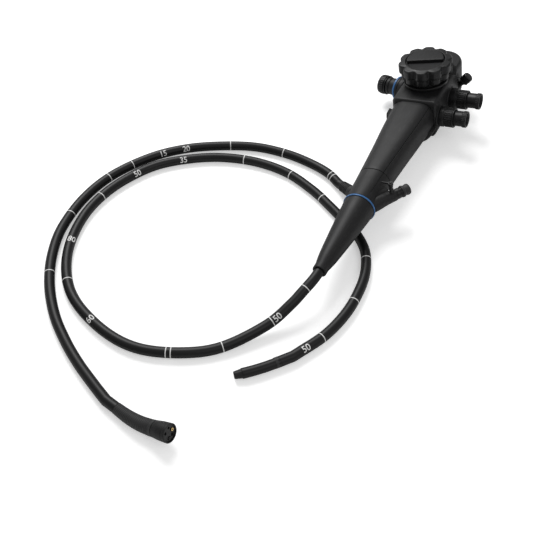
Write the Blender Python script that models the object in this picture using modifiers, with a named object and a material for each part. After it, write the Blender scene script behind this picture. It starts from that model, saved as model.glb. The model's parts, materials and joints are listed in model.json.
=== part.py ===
"""Flexible endoscope: control body, insertion tube with bending section, umbilical cord and connector.

All lengths are in metres. The control body is modelled in its own frame: its origin is where the
knob axis meets the grip axis, X runs towards the valves, Y towards the rear dome and Z up the knobs.
An empty carries that frame and leans it by the roll at which the body lies on the table.
"""

import math

import bmesh
import bpy
from mathutils import Matrix, Vector

CLEARANCE = 0.0003
RUNNING = 0.00035
OVERRUN = 0.001
BODY_ROLL = math.radians(12.0)
AXIS_HEIGHT = 0.025

HEAD_FRONT = 0.038
HEAD_STRAIGHT = 0.040
HEAD_HALF_WIDTH = 0.0235
HEAD_TOP = 0.022
HEAD_BOTTOM = 0.0200
HEAD_WALL = 0.003
HEAD_EDGE = 0.005
HEAD_DOOR = 0.012
COVER_THICKNESS = 0.0026

GRIP_LENGTH = 0.104
GRIP_WALL = 0.0025
GRIP_TOP_HALF = (0.0222, 0.0208)
GRIP_SHOULDER_HALF = (0.0210, 0.0194)
GRIP_WAIST_HALF = (0.0188, 0.0177)
PARTING_HALF = (0.0166, 0.0160)
BRANCH_WAIST_HALF = (0.0160, 0.0157)
RING_RADIUS = 0.0150
SEAM_ANGLE = math.radians(45.0)
BRANCH_LENGTH = 0.036
BRANCH_END_WALL = 0.006
RING_WIDTH = 0.0024
RING_STAND = 0.0005
BOOT_LENGTH = 0.0845
BOOT_MOUTH_RADIUS = 0.0064
BOOT_LIP = 0.0030

TUBE_RADIUS = 0.0046
TUBE_SEAT = 0.020
TUBE_FIT = 0.0004

NECK_ANGLE = math.radians(37.0)
NECK_SIDE = 0.0249
NECK_BACK = 0.0240
NECK_LENGTH = 0.030
NECK_RADIUS = 0.0056
NECK_ROOT_RADIUS = 0.0082
PORT_LENGTH = 0.0058
PORT_RADIUS = 0.0050
PORT_BORE = 0.0021
PORT_SPIGOT = 0.0055
PORT_DEPTH = 0.0060
PORT_LIP = 0.0004
CAP_LENGTH = 0.0080
CAP_RADIUS = 0.0056
CAP_HOLD = 0.5
CAP_CHAMFER = 0.1

NOZZLE_RADIUS = 0.0020
NOZZLE_HEIGHT = 0.0085
NOZZLE_BACK = 0.0035
NOZZLE_SHOULDER = 0.0013
TAP_STAND = 0.0010
LEVER_HEIGHT = 0.0022
LEVER_LENGTH = 0.0100
LEVER_WIDTH = 0.0030
LEVER_STEP = 0.0002

SOCKET_SIDE = 0.0125
SOCKET_BACK = 0.0216
SOCKET_DROP = 0.0078
SOCKET_HEADING = (-0.845, 0.505, -0.120)
SOCKET_RADIUS = 0.0068
SOCKET_DEPTH = 0.0080
SOCKET_REACH = 0.0066
RELIEF_LENGTH = 0.0180
RELIEF_ROOT_RADIUS = 0.0062
RELIEF_TIP_RADIUS = 0.0053
RELIEF_SEAT = 0.008

COLLAR_RADIUS = 0.0225
COLLAR_HEIGHT = 0.0030
BRAKE_RADIUS = 0.0195
BRAKE_HEIGHT = 0.0024
BRAKE_ARM = 0.0300
BRAKE_ARM_ANGLE = math.radians(28.0)
BRAKE_ARM_WIDTH = 0.0085
BRAKE_TAB = 0.0100
UD_KNOB_RADIUS = 0.0245
UD_KNOB_HEIGHT = 0.0070
LR_KNOB_RADIUS = 0.0268
LR_KNOB_HEIGHT = 0.0098
KNOB_LOBES = 10
KNOB_SCALLOP = 0.0026
KNOB_CHAMFER = 0.0010
KNOB_GAP = 0.0004
DISC_RADIUS = 0.0190
DISC_RECESS = 0.0040
DISC_LOW = 0.0026
DISC_HIGH = 0.0052
DISC_TURN = math.radians(27.7)
LR_SHAFT_RADIUS = 0.0030
UD_SHAFT_RADIUS = 0.0052
DRUM_RADIUS = 0.0100
DRUM_HEIGHT = 0.0066
DRUM_GROOVE = 0.0012
CHASSIS_THICKNESS = 0.0020
CHASSIS_MARGIN = 0.0030
BOARD_MARGIN = 0.0040
BOARD_REACH = 0.0150
BOARD_THICKNESS = 0.0016
CHIP_HALF = 0.0060
CHIP_EDGE = 0.0022
CHIP_HEIGHT = 0.0020
STAY_BACK = 0.0060
STAY_LENGTH = 0.0080
STAY_HALF = 0.0085
STAY_LOW = -0.0100
STAY_HIGH = -0.0050
COIL_RADIUS = 0.0011
COIL_SPOTS = (-0.0060, -0.0020, 0.0020, 0.0060)
COIL_PINCH = 0.8
BUNDLE_RADIUS = 0.0026
SUCTION_PIPE_RADIUS = 0.0022
PIPE_SPACING = 0.0100

VALVE_HEIGHT = 0.0
VALVE_BASE_RADIUS = 0.0108
VALVE_COLLAR_RADIUS = 0.0098
VALVE_COLLAR_LENGTH = 0.0095
VALVE_SEAT = 0.0010
VALVE_INNER = 0.0120
VALVE_BARREL_RADIUS = 0.0080
BUTTON_RADIUS = 0.0080
BUTTON_RIM = 0.0012
BUTTON_DISH = 0.0022
BUTTON_EDGE = 0.0005
BUTTON_STEM = 0.0034
BUTTON_TRAVEL = 0.0050
BUTTON_INSERT = 0.0020
STEM_REACH = 0.0060
SPRING_PRESSED = 0.0046
SUCTION_AT = 0.0060
SUCTION_BASE = 0.0075
SUCTION_BUTTON = 0.0134
AIR_AT = -0.0272
AIR_BASE = 0.0050
AIR_BUTTON = 0.0125
SPRING_WIRE = 0.0004
SPRING_TURNS = 3

POST_AT = 0.0030
POST_HEIGHT = 0.0060
POST_TILT = math.radians(12.0)
POST_FLANGE_RADIUS = 0.0120
POST_BOSS = 0.0050
POST_FLANGE = 0.0024
POST_RING_RADIUS = 0.0122
POST_RING_WIDTH = 0.0020
POST_RADIUS = 0.0088
POST_LENGTH = 0.0112
POST_SPIGOT = 0.0060
POST_CAP_RADIUS = 0.0100
POST_CAP_LENGTH = 0.0090

VENT_AT = (0.0194, 0.0336, -0.0064)
VENT_HEADING = (0.60, 0.10, 0.65)
VENT_STEM_RADIUS = 0.0024
VENT_STEM = 0.0096
VENT_CAP_RADIUS = 0.0052
VENT_CAP_LENGTH = 0.0085

SADDLE_AT = -0.0442
SADDLE_LENGTH = 0.0100
SADDLE_THICKNESS = 0.0040
SADDLE_FOOT = 0.0120
SADDLE_WRAP = math.radians(15.0)

LINK_COUNT = 5
LINK_PITCH = 0.0048
LINK_GAP = 0.0025
LINK_RADIUS = 0.0041
LINK_WALL = 0.0012
LINK_TWIST = math.radians(22.5)
EAR_PLAY = 0.00018
PIN_RADIUS = 0.00045
PIN_SINK = 0.0001
TIP_LENGTH = 0.0082
TIP_RADIUS = 0.0036
TIP_NOSE_RADIUS = 0.0032
TIP_SINK = 0.0001
COUPLING_LENGTH = 0.0050
COUPLING_STAND = 0.0001

UMBILICAL_RADIUS = 0.0046
FLARE_ROOT_RADIUS = 0.0050
FLARE_RADIUS = 0.0066
SHELL_LENGTH = 0.0140
SHELL_RADIUS = 0.0076
SHELL_WALL = 0.0010
SHELL_FLOOR = 0.0020
INSERT_DEPTH = 0.0010
PLUG_PITCH = math.radians(20.0)
PLUG_MOAT = 0.0006
PLUG_STAND = 0.0004

CORD_SPACING = 3.0
CORD_SIDES = 3
CORD_LEAD = 0.012

# Where the grip frame stands in the part's frame: the control body without its cords is centred on X and Y.
GRIP_START = HEAD_FRONT + CLEARANCE
PARTING = GRIP_START + GRIP_LENGTH
BRANCH_START = PARTING + CLEARANCE
BRANCH_END = BRANCH_START + BRANCH_LENGTH
RING_START = BRANCH_END + CLEARANCE
BOOT_START = RING_START + RING_WIDTH + CLEARANCE
BOOT_END = BOOT_START + BOOT_LENGTH
DOME_END = HEAD_STRAIGHT + HEAD_HALF_WIDTH
NECK_END = (NECK_SIDE, NECK_BACK - BRANCH_END, 0.0)
SOCKET_CENTRE = (-SOCKET_SIDE, SOCKET_BACK - BRANCH_END, -SOCKET_DROP)
SUCTION_TOP = SUCTION_BASE + VALVE_COLLAR_LENGTH
SUCTION_END = HEAD_HALF_WIDTH + VALVE_SEAT + CLEARANCE + SUCTION_TOP + SUCTION_BUTTON
POST_REACH = POST_BOSS + POST_FLANGE + POST_RING_WIDTH + POST_LENGTH + POST_CAP_LENGTH + 4 * CLEARANCE
BUTTON_FACE = BUTTON_RADIUS - BUTTON_EDGE
RIGHT_REACH = SUCTION_END * math.cos(BODY_ROLL) + (BUTTON_FACE - VALVE_HEIGHT) * math.sin(BODY_ROLL)
POST_END_X = HEAD_HALF_WIDTH + POST_REACH * math.cos(POST_TILT)
POST_FACE_REACH = (1 - CAP_CHAMFER) * POST_CAP_RADIUS * math.hypot(
    math.sin(POST_TILT) * math.cos(BODY_ROLL), math.sin(BODY_ROLL)
)
LEFT_REACH = POST_END_X * math.cos(BODY_ROLL) + POST_HEIGHT * math.sin(BODY_ROLL) + POST_FACE_REACH
BODY_X = (LEFT_REACH - RIGHT_REACH) / 2
BODY_Y = (BOOT_END - DOME_END) / 2

# Routes of the cords on the table, from the floor point under the boot's mouth: x, y and centre height.
INSERTION_ROUTE = (
    (-0.0010, -0.0100, 0.0240),
    (-0.0036, -0.0205, 0.0215),
    (-0.0085, -0.0370, 0.0165),
    (-0.0190, -0.0600, 0.0092),
    (-0.0420, -0.0930, 0.0050),
    (-0.0680, -0.1130, 0.0049),
    (-0.1020, -0.1260, 0.0049),
    (-0.1360, -0.1250, 0.0049),
    (-0.1740, -0.1120, 0.0049),
    (-0.2000, -0.0920, 0.0049),
    (-0.2200, -0.0620, 0.0049),
    (-0.2310, -0.0250, 0.0049),
    (-0.2310, 0.0080, 0.0049),
    (-0.2230, 0.0380, 0.0049),
    (-0.2080, 0.0660, 0.0049),
    (-0.1840, 0.0890, 0.0049),
    (-0.1560, 0.1060, 0.0049),
    (-0.1220, 0.1160, 0.0049),
    (-0.0880, 0.1160, 0.0049),
    (-0.0560, 0.1060, 0.0049),
    (-0.0320, 0.0940, 0.0049),
    (-0.0110, 0.0820, 0.0049),
    (0.0080, 0.0700, 0.0049),
    (0.0220, 0.0540, 0.0049),
    (0.0310, 0.0310, 0.0049),
    (0.0340, 0.0060, 0.0049),
    (0.0330, -0.0180, 0.0049),
    (0.0270, -0.0440, 0.0049),
    (0.0160, -0.0680, 0.0049),
)
TIP_START = (0.0055, -0.0840, 0.0049)
TIP_HEADING = math.radians(-127.5)
TIP_CURL = math.radians(-1.6)
UMBILICAL_ROUTE = (
    (-0.0520, 0.1335, 0.0060),
    (-0.0740, 0.1395, 0.0049),
    (-0.1010, 0.1410, 0.0049),
    (-0.1330, 0.1360, 0.0049),
    (-0.1640, 0.1220, 0.0049),
    (-0.1950, 0.1010, 0.0049),
    (-0.2200, 0.0730, 0.0049),
    (-0.2390, 0.0340, 0.0049),
    (-0.2450, -0.0050, 0.0049),
    (-0.2400, -0.0460, 0.0049),
    (-0.2270, -0.0780, 0.0049),
    (-0.2080, -0.1060, 0.0049),
    (-0.1840, -0.1300, 0.0050),
    (-0.1600, -0.1470, 0.0049),
    (-0.1370, -0.1600, 0.0049),
    (-0.1130, -0.1710, 0.0052),
)
FLARE_ROUTE = (
    (-0.0850, -0.1800, 0.0060),
    (-0.0740, -0.1820, 0.0066),
    (-0.0630, -0.1830, 0.0076),
)
PLUG_START = (-0.0475, -0.1825, 0.0104)
PLUG_HEADING = (1.0, 0.0)


def make_collection(name):
    collection = bpy.data.collections.new(name)
    bpy.context.scene.collection.children.link(collection)
    return collection


for old in list(bpy.data.objects):
    bpy.data.objects.remove(old)
PARTS = make_collection("flexible_endoscope")
CUTTERS = make_collection("cutters")


def finish_material(name, colour, roughness, metallic=0.0):
    material = bpy.data.materials.new(name)
    material.use_nodes = True
    shader = material.node_tree.nodes["Principled BSDF"]
    shader.inputs["Base Color"].default_value = (*colour, 1.0)
    shader.inputs["Roughness"].default_value = roughness
    shader.inputs["Metallic"].default_value = metallic
    return material


FINISHES = {
    "casing": ((0.020, 0.020, 0.021), 0.45, 0.0),
    "knob": ((0.016, 0.016, 0.017), 0.50, 0.0),
    "rubber": ((0.012, 0.012, 0.013), 0.60, 0.0),
    "tube": ((0.013, 0.013, 0.014), 0.38, 0.0),
    "blue": ((0.045, 0.190, 0.480), 0.35, 0.0),
    "steel": ((0.560, 0.570, 0.580), 0.30, 1.0),
    "brass": ((0.780, 0.570, 0.250), 0.30, 1.0),
    "board": ((0.030, 0.160, 0.070), 0.55, 0.0),
    "glass": ((0.040, 0.055, 0.070), 0.08, 0.0),
    "sleeve": ((0.600, 0.620, 0.640), 0.45, 0.0),
}


def link(obj, finish=None, parent=None):
    """Puts a new object in its collection, with its own material, or hidden among the cutters."""
    if finish is None:
        CUTTERS.objects.link(obj)
        obj.hide_render = True
        obj.display_type = "WIRE"
    else:
        PARTS.objects.link(obj)
        obj.data.materials.clear()
        obj.data.materials.append(finish_material(obj.name, *FINISHES[finish]))
    obj.parent = parent
    return obj


def aim(obj, location, heading, spin=0.0):
    """Stands an object's Z along a heading; spin turns it about that line."""
    turn = Vector(heading).normalized().to_track_quat("Z", "Y").to_matrix()
    obj.matrix_local = Matrix.Translation(location) @ (turn @ Matrix.Rotation(spin, 3, "Z")).to_4x4()
    return obj


def shade(mesh):
    mesh.shade_smooth()
    mesh.set_sharp_from_angle(angle=math.radians(35))


def from_bmesh(name, bm, finish, parent):
    bmesh.ops.recalc_face_normals(bm, faces=bm.faces[:])
    mesh = bpy.data.meshes.new(name)
    bm.to_mesh(mesh)
    bm.free()
    shade(mesh)
    return link(bpy.data.objects.new(name, mesh), finish, parent)


def rod(name, radius, length, finish=None, parent=None, sides=20, tip_radius=None):
    """A cylinder or cone from Z 0 to its length."""
    bm = bmesh.new()
    end = radius if tip_radius is None else tip_radius
    raise_by = Matrix.Translation((0, 0, length / 2))
    bmesh.ops.create_cone(
        bm, cap_ends=True, segments=sides, radius1=radius, radius2=end, depth=length, matrix=raise_by
    )
    return from_bmesh(name, bm, finish, parent)


def block(name, low, high, finish=None, parent=None):
    """A box between two corners."""
    bm = bmesh.new()
    low, high = Vector(low), Vector(high)
    size = Matrix.Diagonal((*(high - low), 1.0))
    bmesh.ops.create_cube(bm, size=1.0, matrix=Matrix.Translation((low + high) / 2) @ size)
    return from_bmesh(name, bm, finish, parent)


def turned(name, profile, finish=None, parent=None, steps=20):
    """A turned piece: (radius, height) pairs down its outer side; a closed ring where no radius is 0."""
    on_axis = profile[0][0] == 0.0
    mesh = bpy.data.meshes.new(name)
    points = [(radius, 0.0, height) for radius, height in profile]
    edges = [(i, i + 1) for i in range(len(points) - 1)]
    if not on_axis:
        edges.append((len(points) - 1, 0))
    mesh.from_pydata(points, edges, [])
    obj = link(bpy.data.objects.new(name, mesh), finish, parent)
    screw = obj.modifiers.new("turn", "SCREW")
    screw.steps = steps
    screw.render_steps = steps
    screw.use_merge_vertices = True
    screw.merge_threshold = 0.00001
    return obj


def prism(name, outline, bottom, top, finish=None, parent=None, chamfer=0.0):
    """An outline in X and Y raised from bottom to top, with a chamfer round both ends."""
    bm = bmesh.new()
    reach = max(math.hypot(x, y) for x, y in outline)
    inset = (reach - chamfer) / reach
    levels = [(bottom, 1.0), (top, 1.0)]
    if chamfer:
        levels = [(bottom, inset), (bottom + chamfer, 1.0), (top - chamfer, 1.0), (top, inset)]
    rings = [[bm.verts.new((x * s, y * s, z)) for x, y in outline] for z, s in levels]
    for lower, upper in zip(rings, rings[1:]):
        for i in range(len(outline)):
            j = (i + 1) % len(outline)
            bm.faces.new((lower[i], lower[j], upper[j], upper[i]))
    bm.faces.new(list(reversed(rings[0])))
    bm.faces.new(rings[-1])
    return from_bmesh(name, bm, finish, parent)


def boolean(target, other, operation):
    step = target.modifiers.new(other.name, "BOOLEAN")
    step.operation = operation
    step.solver = "EXACT"
    step.object = other
    return target


def cut(target, other):
    return boolean(target, other, "DIFFERENCE")


def join(target, other):
    return boolean(target, other, "UNION")


def arc(radius, start, end, count, centre=(0.0, 0.0)):
    """Points along an arc, both ends included."""
    angles = [start + (end - start) * i / (count - 1) for i in range(count)]
    return [(centre[0] + radius * math.cos(a), centre[1] + radius * math.sin(a)) for a in angles]


# The grip's section: a rounded square at the head that turns round towards the blue ring.
BRANCH_WAIST = BRANCH_START + BRANCH_LENGTH * 0.30
GRIP_SHOULDER = GRIP_START + GRIP_LENGTH * 0.31
GRIP_WAIST = GRIP_START + GRIP_LENGTH * 0.62
SECTION_STATIONS = (
    (GRIP_START, GRIP_TOP_HALF, 3.4),
    (GRIP_SHOULDER, GRIP_SHOULDER_HALF, 3.1),
    (GRIP_WAIST, GRIP_WAIST_HALF, 2.7),
    (PARTING, PARTING_HALF, 2.3),
    (BRANCH_WAIST, BRANCH_WAIST_HALF, 2.2),
    (BRANCH_END, (RING_RADIUS, RING_RADIUS), 2.0),
)


def section_sizes(distance):
    """Half width, half height and squareness of the grip at a distance from the knob axis."""
    for (d0, half0, n0), (d1, half1, n1) in zip(SECTION_STATIONS, SECTION_STATIONS[1:]):
        if distance <= d1:
            break
    t = min(max((distance - d0) / (d1 - d0), 0.0), 1.0)
    wide = half0[0] + (half1[0] - half0[0]) * t
    tall = half0[1] + (half1[1] - half0[1]) * t
    return wide, tall, n0 + (n1 - n0) * t


def section_point(distance, angle, inset=0.0):
    wide, tall, power = section_sizes(distance)
    c, s = math.cos(angle), math.sin(angle)
    x = math.copysign(abs(c) ** (2 / power), c) * (wide - inset)
    z = math.copysign(abs(s) ** (2 / power), s) * (tall - inset)
    return Vector((x, -distance, z))


def loft(name, rings, finish, parent, closed_ring=False):
    """Joins rings of points, end to end, into a closed body; a closed ring of rings needs no ends."""
    bm = bmesh.new()
    loops = [[bm.verts.new(p) for p in ring] for ring in rings]
    pairs = list(zip(loops, loops[1:]))
    if closed_ring:
        pairs.append((loops[-1], loops[0]))
    for a, b in pairs:
        for i in range(len(a)):
            j = (i + 1) % len(a)
            bm.faces.new((a[i], a[j], b[j], b[i]))
    if not closed_ring:
        bm.faces.new(loops[0])
        bm.faces.new(list(reversed(loops[-1])))
    return from_bmesh(name, bm, finish, parent)


def smooth_points(route, spacing):
    """Evenly spaced points on a smooth curve through a route's own points."""
    points = [Vector(p) for p in route]
    padded = [points[0] * 2 - points[1], *points, points[-1] * 2 - points[-2]]
    fine = []
    for p0, p1, p2, p3 in zip(padded, padded[1:], padded[2:], padded[3:]):
        for i in range(24):
            t = i / 24
            fine.append(
                0.5
                * (
                    2 * p1
                    + (p2 - p0) * t
                    + (2 * p0 - 5 * p1 + 4 * p2 - p3) * t**2
                    + (3 * p1 - p0 - 3 * p2 + p3) * t**3
                )
            )
    fine.append(points[-1])
    lengths = [0.0]
    for a, b in zip(fine, fine[1:]):
        lengths.append(lengths[-1] + (b - a).length)
    count = max(round(lengths[-1] / spacing), 1)
    evened, k = [], 0
    for i in range(count + 1):
        goal = lengths[-1] * i / count
        while k < len(lengths) - 2 and lengths[k + 1] < goal:
            k += 1
        t = (goal - lengths[k]) / (lengths[k + 1] - lengths[k])
        evened.append(fine[k].lerp(fine[k + 1], t))
    return evened


def tube(name, points, radius, finish, parent=None, resolution=CORD_SIDES):
    """A curve tube with filled ends along points."""
    curve = bpy.data.curves.new(name, "CURVE")
    curve.dimensions = "3D"
    curve.bevel_depth = radius
    curve.bevel_resolution = resolution
    curve.use_fill_caps = True
    spline = curve.splines.new("POLY")
    spline.points.add(len(points) - 1)
    for spot, point in zip(spline.points, points):
        spot.co = (*point, 1.0)
    return link(bpy.data.objects.new(name, curve), finish, parent)


def tube_mesh(name, points, radius, finish=None, parent=None, resolution=2):
    """The same tube as a closed mesh, for pieces that are cut or joined."""
    curve = tube(name + "_line", points, radius, None, parent, resolution)
    bpy.context.view_layer.update()
    depsgraph = bpy.context.evaluated_depsgraph_get()
    mesh = bpy.data.meshes.new_from_object(curve.evaluated_get(depsgraph))
    bm = bmesh.new()
    bm.from_mesh(mesh)
    bmesh.ops.remove_doubles(bm, verts=bm.verts, dist=0.000001)
    bpy.data.objects.remove(curve)
    return from_bmesh(name, bm, finish, parent)


def empty(name, matrix, parent=None):
    frame = bpy.data.objects.new(name, None)
    PARTS.objects.link(frame)
    frame.parent = parent
    frame.matrix_local = matrix
    return frame


BODY_MATRIX = Matrix.Translation((BODY_X, BODY_Y, AXIS_HEIGHT)) @ Matrix.Rotation(-BODY_ROLL, 4, "Y")
BODY = empty("control_body_frame", BODY_MATRIX)
FLOOR_MATRIX = Matrix.Translation((BODY_X, BODY_Y - BOOT_END, 0.0))
FLOOR = empty("boot_mouth_floor_point", FLOOR_MATRIX)
FORWARD = (0.0, -1.0, 0.0)


def head_outline(inset):
    """The head seen along the knob axis: a square front and a half-round rear dome."""
    half = HEAD_HALF_WIDTH - inset
    front = HEAD_FRONT - inset
    rear = arc(half, 0.0, math.pi, 13, (0.0, HEAD_STRAIGHT))
    return [(-half, -front), (half, -front), *rear]


def build_head():
    head = prism("head_housing", head_outline(0.0), -HEAD_BOTTOM, HEAD_TOP, "casing", BODY)
    rounding = head.modifiers.new("rounding", "BEVEL")
    rounding.width = HEAD_EDGE
    rounding.segments = 2
    rounding.limit_method = "ANGLE"
    rounding.angle_limit = math.radians(40)
    for name, heading, at, radius in (
        ("suction_boss", (1, 0, 0), SUCTION_AT, VALVE_BASE_RADIUS + 0.0008),
        ("air_boss", (1, 0, 0), AIR_AT, VALVE_BASE_RADIUS),
    ):
        boss = rod(name, radius, HEAD_EDGE + HEAD_WALL, None, BODY, 24)
        root = HEAD_HALF_WIDTH - HEAD_EDGE - HEAD_WALL + VALVE_SEAT
        join(head, aim(boss, (root, at, VALVE_HEIGHT), heading))
    post_boss = rod("post_boss", POST_FLANGE_RADIUS, POST_BOSS + HEAD_WALL, None, BODY, 24)
    join(head, aim(post_boss, POST_ROOT - POST_HEADING * HEAD_WALL, POST_HEADING))
    hollow = head_outline(HEAD_WALL)
    cut(head, prism("head_cavity", hollow, -HEAD_BOTTOM - HEAD_WALL, HEAD_TOP - HEAD_WALL, None, BODY))
    doorway = rod("grip_doorway", HEAD_DOOR, 4 * HEAD_WALL, None, BODY, 20)
    cut(head, aim(doorway, (0, -HEAD_FRONT + HEAD_WALL * 2, 0), FORWARD))
    shaft_hole = rod("shaft_hole", UD_SHAFT_RADIUS + RUNNING, 4 * HEAD_WALL, None, BODY, 20)
    cut(head, aim(shaft_hole, (0, 0, HEAD_TOP - 2 * HEAD_WALL), (0, 0, 1)))
    for name, at in (("suction_hole", SUCTION_AT), ("air_hole", AIR_AT)):
        hole = rod(name, VALVE_BARREL_RADIUS + CLEARANCE, 3 * HEAD_BOTTOM, None, BODY, 20)
        cut(head, aim(hole, (VALVE_INNER / 2, at, VALVE_HEIGHT), (1, 0, 0)))
    post_hole = rod("post_hole", POST_SPIGOT + CLEARANCE, 4 * HEAD_WALL, None, BODY, 16)
    cut(head, aim(post_hole, POST_ROOT - POST_HEADING * 2 * HEAD_WALL, POST_HEADING))
    vent_hole = rod("vent_hole", VENT_STEM_RADIUS + CLEARANCE, VENT_STEM + 2 * HEAD_WALL, None, BODY, 14)
    vent_inner = Vector(VENT_AT) - Vector(VENT_HEADING).normalized() * HEAD_WALL
    cut(head, aim(vent_hole, vent_inner, VENT_HEADING))

    cover_top = -HEAD_BOTTOM + COVER_THICKNESS
    cover = prism("back_cover", head_outline(HEAD_WALL + CLEARANCE), -HEAD_BOTTOM, cover_top, "casing", BODY)
    for i, (x, y) in enumerate(SCREW_SPOTS):
        seat = rod(f"screw_seat_{i}", SCREW_HEAD + CLEARANCE, 0.0012, None, BODY, 12)
        cut(cover, aim(seat, (x, y, -HEAD_BOTTOM - 0.0001), (0, 0, 1)))
        hole = rod(f"screw_hole_{i}", SCREW_SHANK + CLEARANCE, 3 * COVER_THICKNESS, None, BODY, 8)
        cut(cover, aim(hole, (x, y, -HEAD_BOTTOM - COVER_THICKNESS), (0, 0, 1)))
        screw = rod(f"cover_screw_{i + 1}", SCREW_HEAD, 0.0008, "steel", BODY, 12)
        aim(screw, (x, y, -HEAD_BOTTOM), (0, 0, 1))
        shank = rod(f"screw_shank_{i}", SCREW_SHANK, SCREW_LENGTH, None, BODY, 8)
        join(screw, aim(shank, (x, y, -HEAD_BOTTOM + 0.0004), (0, 0, 1)))


SCREW_HEAD = 0.0020
SCREW_SHANK = 0.0010
SCREW_LENGTH = COVER_THICKNESS + 0.0016
SCREW_MARGIN = 0.0110
SCREW_REAR = 0.0020
SCREW_SIDE = HEAD_HALF_WIDTH - SCREW_MARGIN
SCREW_ROWS = (SCREW_MARGIN - HEAD_FRONT, HEAD_STRAIGHT + SCREW_REAR)
SCREW_SPOTS = [(side, row) for side in (-SCREW_SIDE, SCREW_SIDE) for row in SCREW_ROWS]
POST_HEADING = Vector((-math.cos(POST_TILT), math.sin(POST_TILT), 0.0))
POST_ROOT = Vector((-HEAD_HALF_WIDTH, POST_AT, POST_HEIGHT))
POST_FACE = POST_ROOT + POST_HEADING * (POST_BOSS + CLEARANCE)


def half_shell(name, start, end, turn_from, finish, stations=5, count=13):
    """Half of the hollow grip, between two distances from the knob axis."""
    side_gap = CLEARANCE / 2 / GRIP_WAIST_HALF[0]
    first = turn_from + side_gap
    last = turn_from + math.pi - side_gap
    rings = []
    for k in range(stations):
        distance = start + (end - start) * k / (stations - 1)
        angles = [first + (last - first) * i / (count - 1) for i in range(count)]
        outer = [section_point(distance, a) for a in angles]
        inner = [section_point(distance, a, GRIP_WALL) for a in reversed(angles)]
        rings.append(outer + inner)
    return loft(name, rings, finish, BODY)


def build_grip():
    half_shell("grip_shell_left", GRIP_START, PARTING, SEAM_ANGLE, "casing")
    half_shell("grip_shell_right", GRIP_START, PARTING, SEAM_ANGLE - math.pi, "casing")

    count = 28
    angles = [2 * math.pi * i / count for i in range(count)]
    end = BRANCH_END
    outer_at = [BRANCH_START, (BRANCH_START + BRANCH_WAIST) / 2, BRANCH_WAIST, (BRANCH_WAIST + end) / 2, end]
    outer = [[section_point(d, a) for a in angles] for d in outer_at]
    housing = loft("branch_housing", outer, "casing", BODY)
    neck_root = Vector(NECK_END) - NECK_AXIS * NECK_LENGTH
    neck = rod("biopsy_neck", NECK_ROOT_RADIUS, NECK_LENGTH, None, BODY, 18, NECK_RADIUS)
    reach = NECK_LENGTH + NECK_ROOT_RADIUS
    below = block("neck_trim", (-reach, -end - reach, -reach), (reach, -end, reach), None, BODY)
    aim(neck, neck_root, NECK_AXIS)
    cut(neck, below)
    join(housing, neck)
    heading = Vector(SOCKET_HEADING).normalized()
    socket_length = SOCKET_DEPTH + SOCKET_REACH
    socket = rod("umbilical_socket", SOCKET_RADIUS + 0.0010, socket_length, None, BODY, 18, SOCKET_RADIUS)
    join(housing, aim(socket, Vector(SOCKET_CENTRE) - heading * SOCKET_DEPTH, heading))
    bore_at = [BRANCH_START - 0.001, BRANCH_WAIST, end - BRANCH_END_WALL]
    bore = [[section_point(d, a, GRIP_WALL) for a in angles] for d in bore_at]
    cut(housing, loft("branch_bore", bore, None, BODY))
    port_bore = rod("port_bore", PORT_SPIGOT / 2 + CLEARANCE, NECK_LENGTH, None, BODY, 14)
    cut(housing, aim(port_bore, neck_root + NECK_AXIS * 0.004, NECK_AXIS))
    seat = rod("relief_seat", RELIEF_TIP_RADIUS, RELIEF_SEAT + socket_length, None, BODY, 18)
    relief_root = Vector(SOCKET_CENTRE) + heading * (SOCKET_REACH - RELIEF_SEAT)
    cut(housing, aim(seat, relief_root - heading * CLEARANCE, heading))
    tube_hole = rod("tube_hole", TUBE_RADIUS, 4 * BRANCH_END_WALL, None, BODY, 20)
    cut(housing, aim(tube_hole, (0, -end + 2 * BRANCH_END_WALL, 0), FORWARD))
    nozzle_hole = rod("nozzle_hole", NOZZLE_RADIUS * 0.7 + CLEARANCE, NECK_RADIUS * 2, None, BODY, 12)
    cut(housing, aim(nozzle_hole, NOZZLE_ROOT - Vector((0, 0, 0.0035)), (0, 0, 1)))

    ring_outer = RING_RADIUS + RING_STAND
    blue = ring(ring_outer, BOOT_BORE, RING_WIDTH)
    turned_along("boot_ring", blue, "blue", (0, -RING_START, 0), FORWARD, 24)
    lip = BOOT_MOUTH_RADIUS + 0.0004
    boot = [
        (RING_RADIUS - 0.0002, 0.0),
        (RING_RADIUS - 0.0012, BOOT_LENGTH * 0.22),
        (RING_RADIUS - 0.0034, BOOT_LENGTH * 0.50),
        (RING_RADIUS - 0.0062, BOOT_LENGTH * 0.78),
        (BOOT_MOUTH_RADIUS, BOOT_LENGTH - 2 * BOOT_LIP),
        (lip, BOOT_LENGTH - BOOT_LIP),
        (BOOT_MOUTH_RADIUS, BOOT_LENGTH),
        (TUBE_RADIUS + TUBE_FIT, BOOT_LENGTH),
        (TUBE_RADIUS + TUBE_FIT, BOOT_LENGTH - TUBE_SEAT - CLEARANCE),
        (TUBE_RADIUS - 0.0008, BOOT_LENGTH - TUBE_SEAT - CLEARANCE),
        (TUBE_RADIUS - 0.0008, 0.0),
    ]
    turned_along("strain_boot", list(reversed(boot)), "casing", (0, -BOOT_START, 0), FORWARD, 22)


BOOT_BORE = TUBE_RADIUS
NECK_AXIS = Vector((math.sin(NECK_ANGLE), math.cos(NECK_ANGLE), 0.0))
NOZZLE_ROOT = Vector(NECK_END) - NECK_AXIS * NOZZLE_BACK + Vector((0, 0, NECK_RADIUS - 0.0008))


def ring(outer, inner, width):
    """A plain ring's profile, from its outer top edge round."""
    return [(outer, width), (outer, 0.0), (inner, 0.0), (inner, width)]


def turned_along(name, profile, finish, location, heading, steps=18):
    """A turned piece of the control body, stood along a heading."""
    return aim(turned(name, profile, finish, BODY, steps), location, heading)


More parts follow.
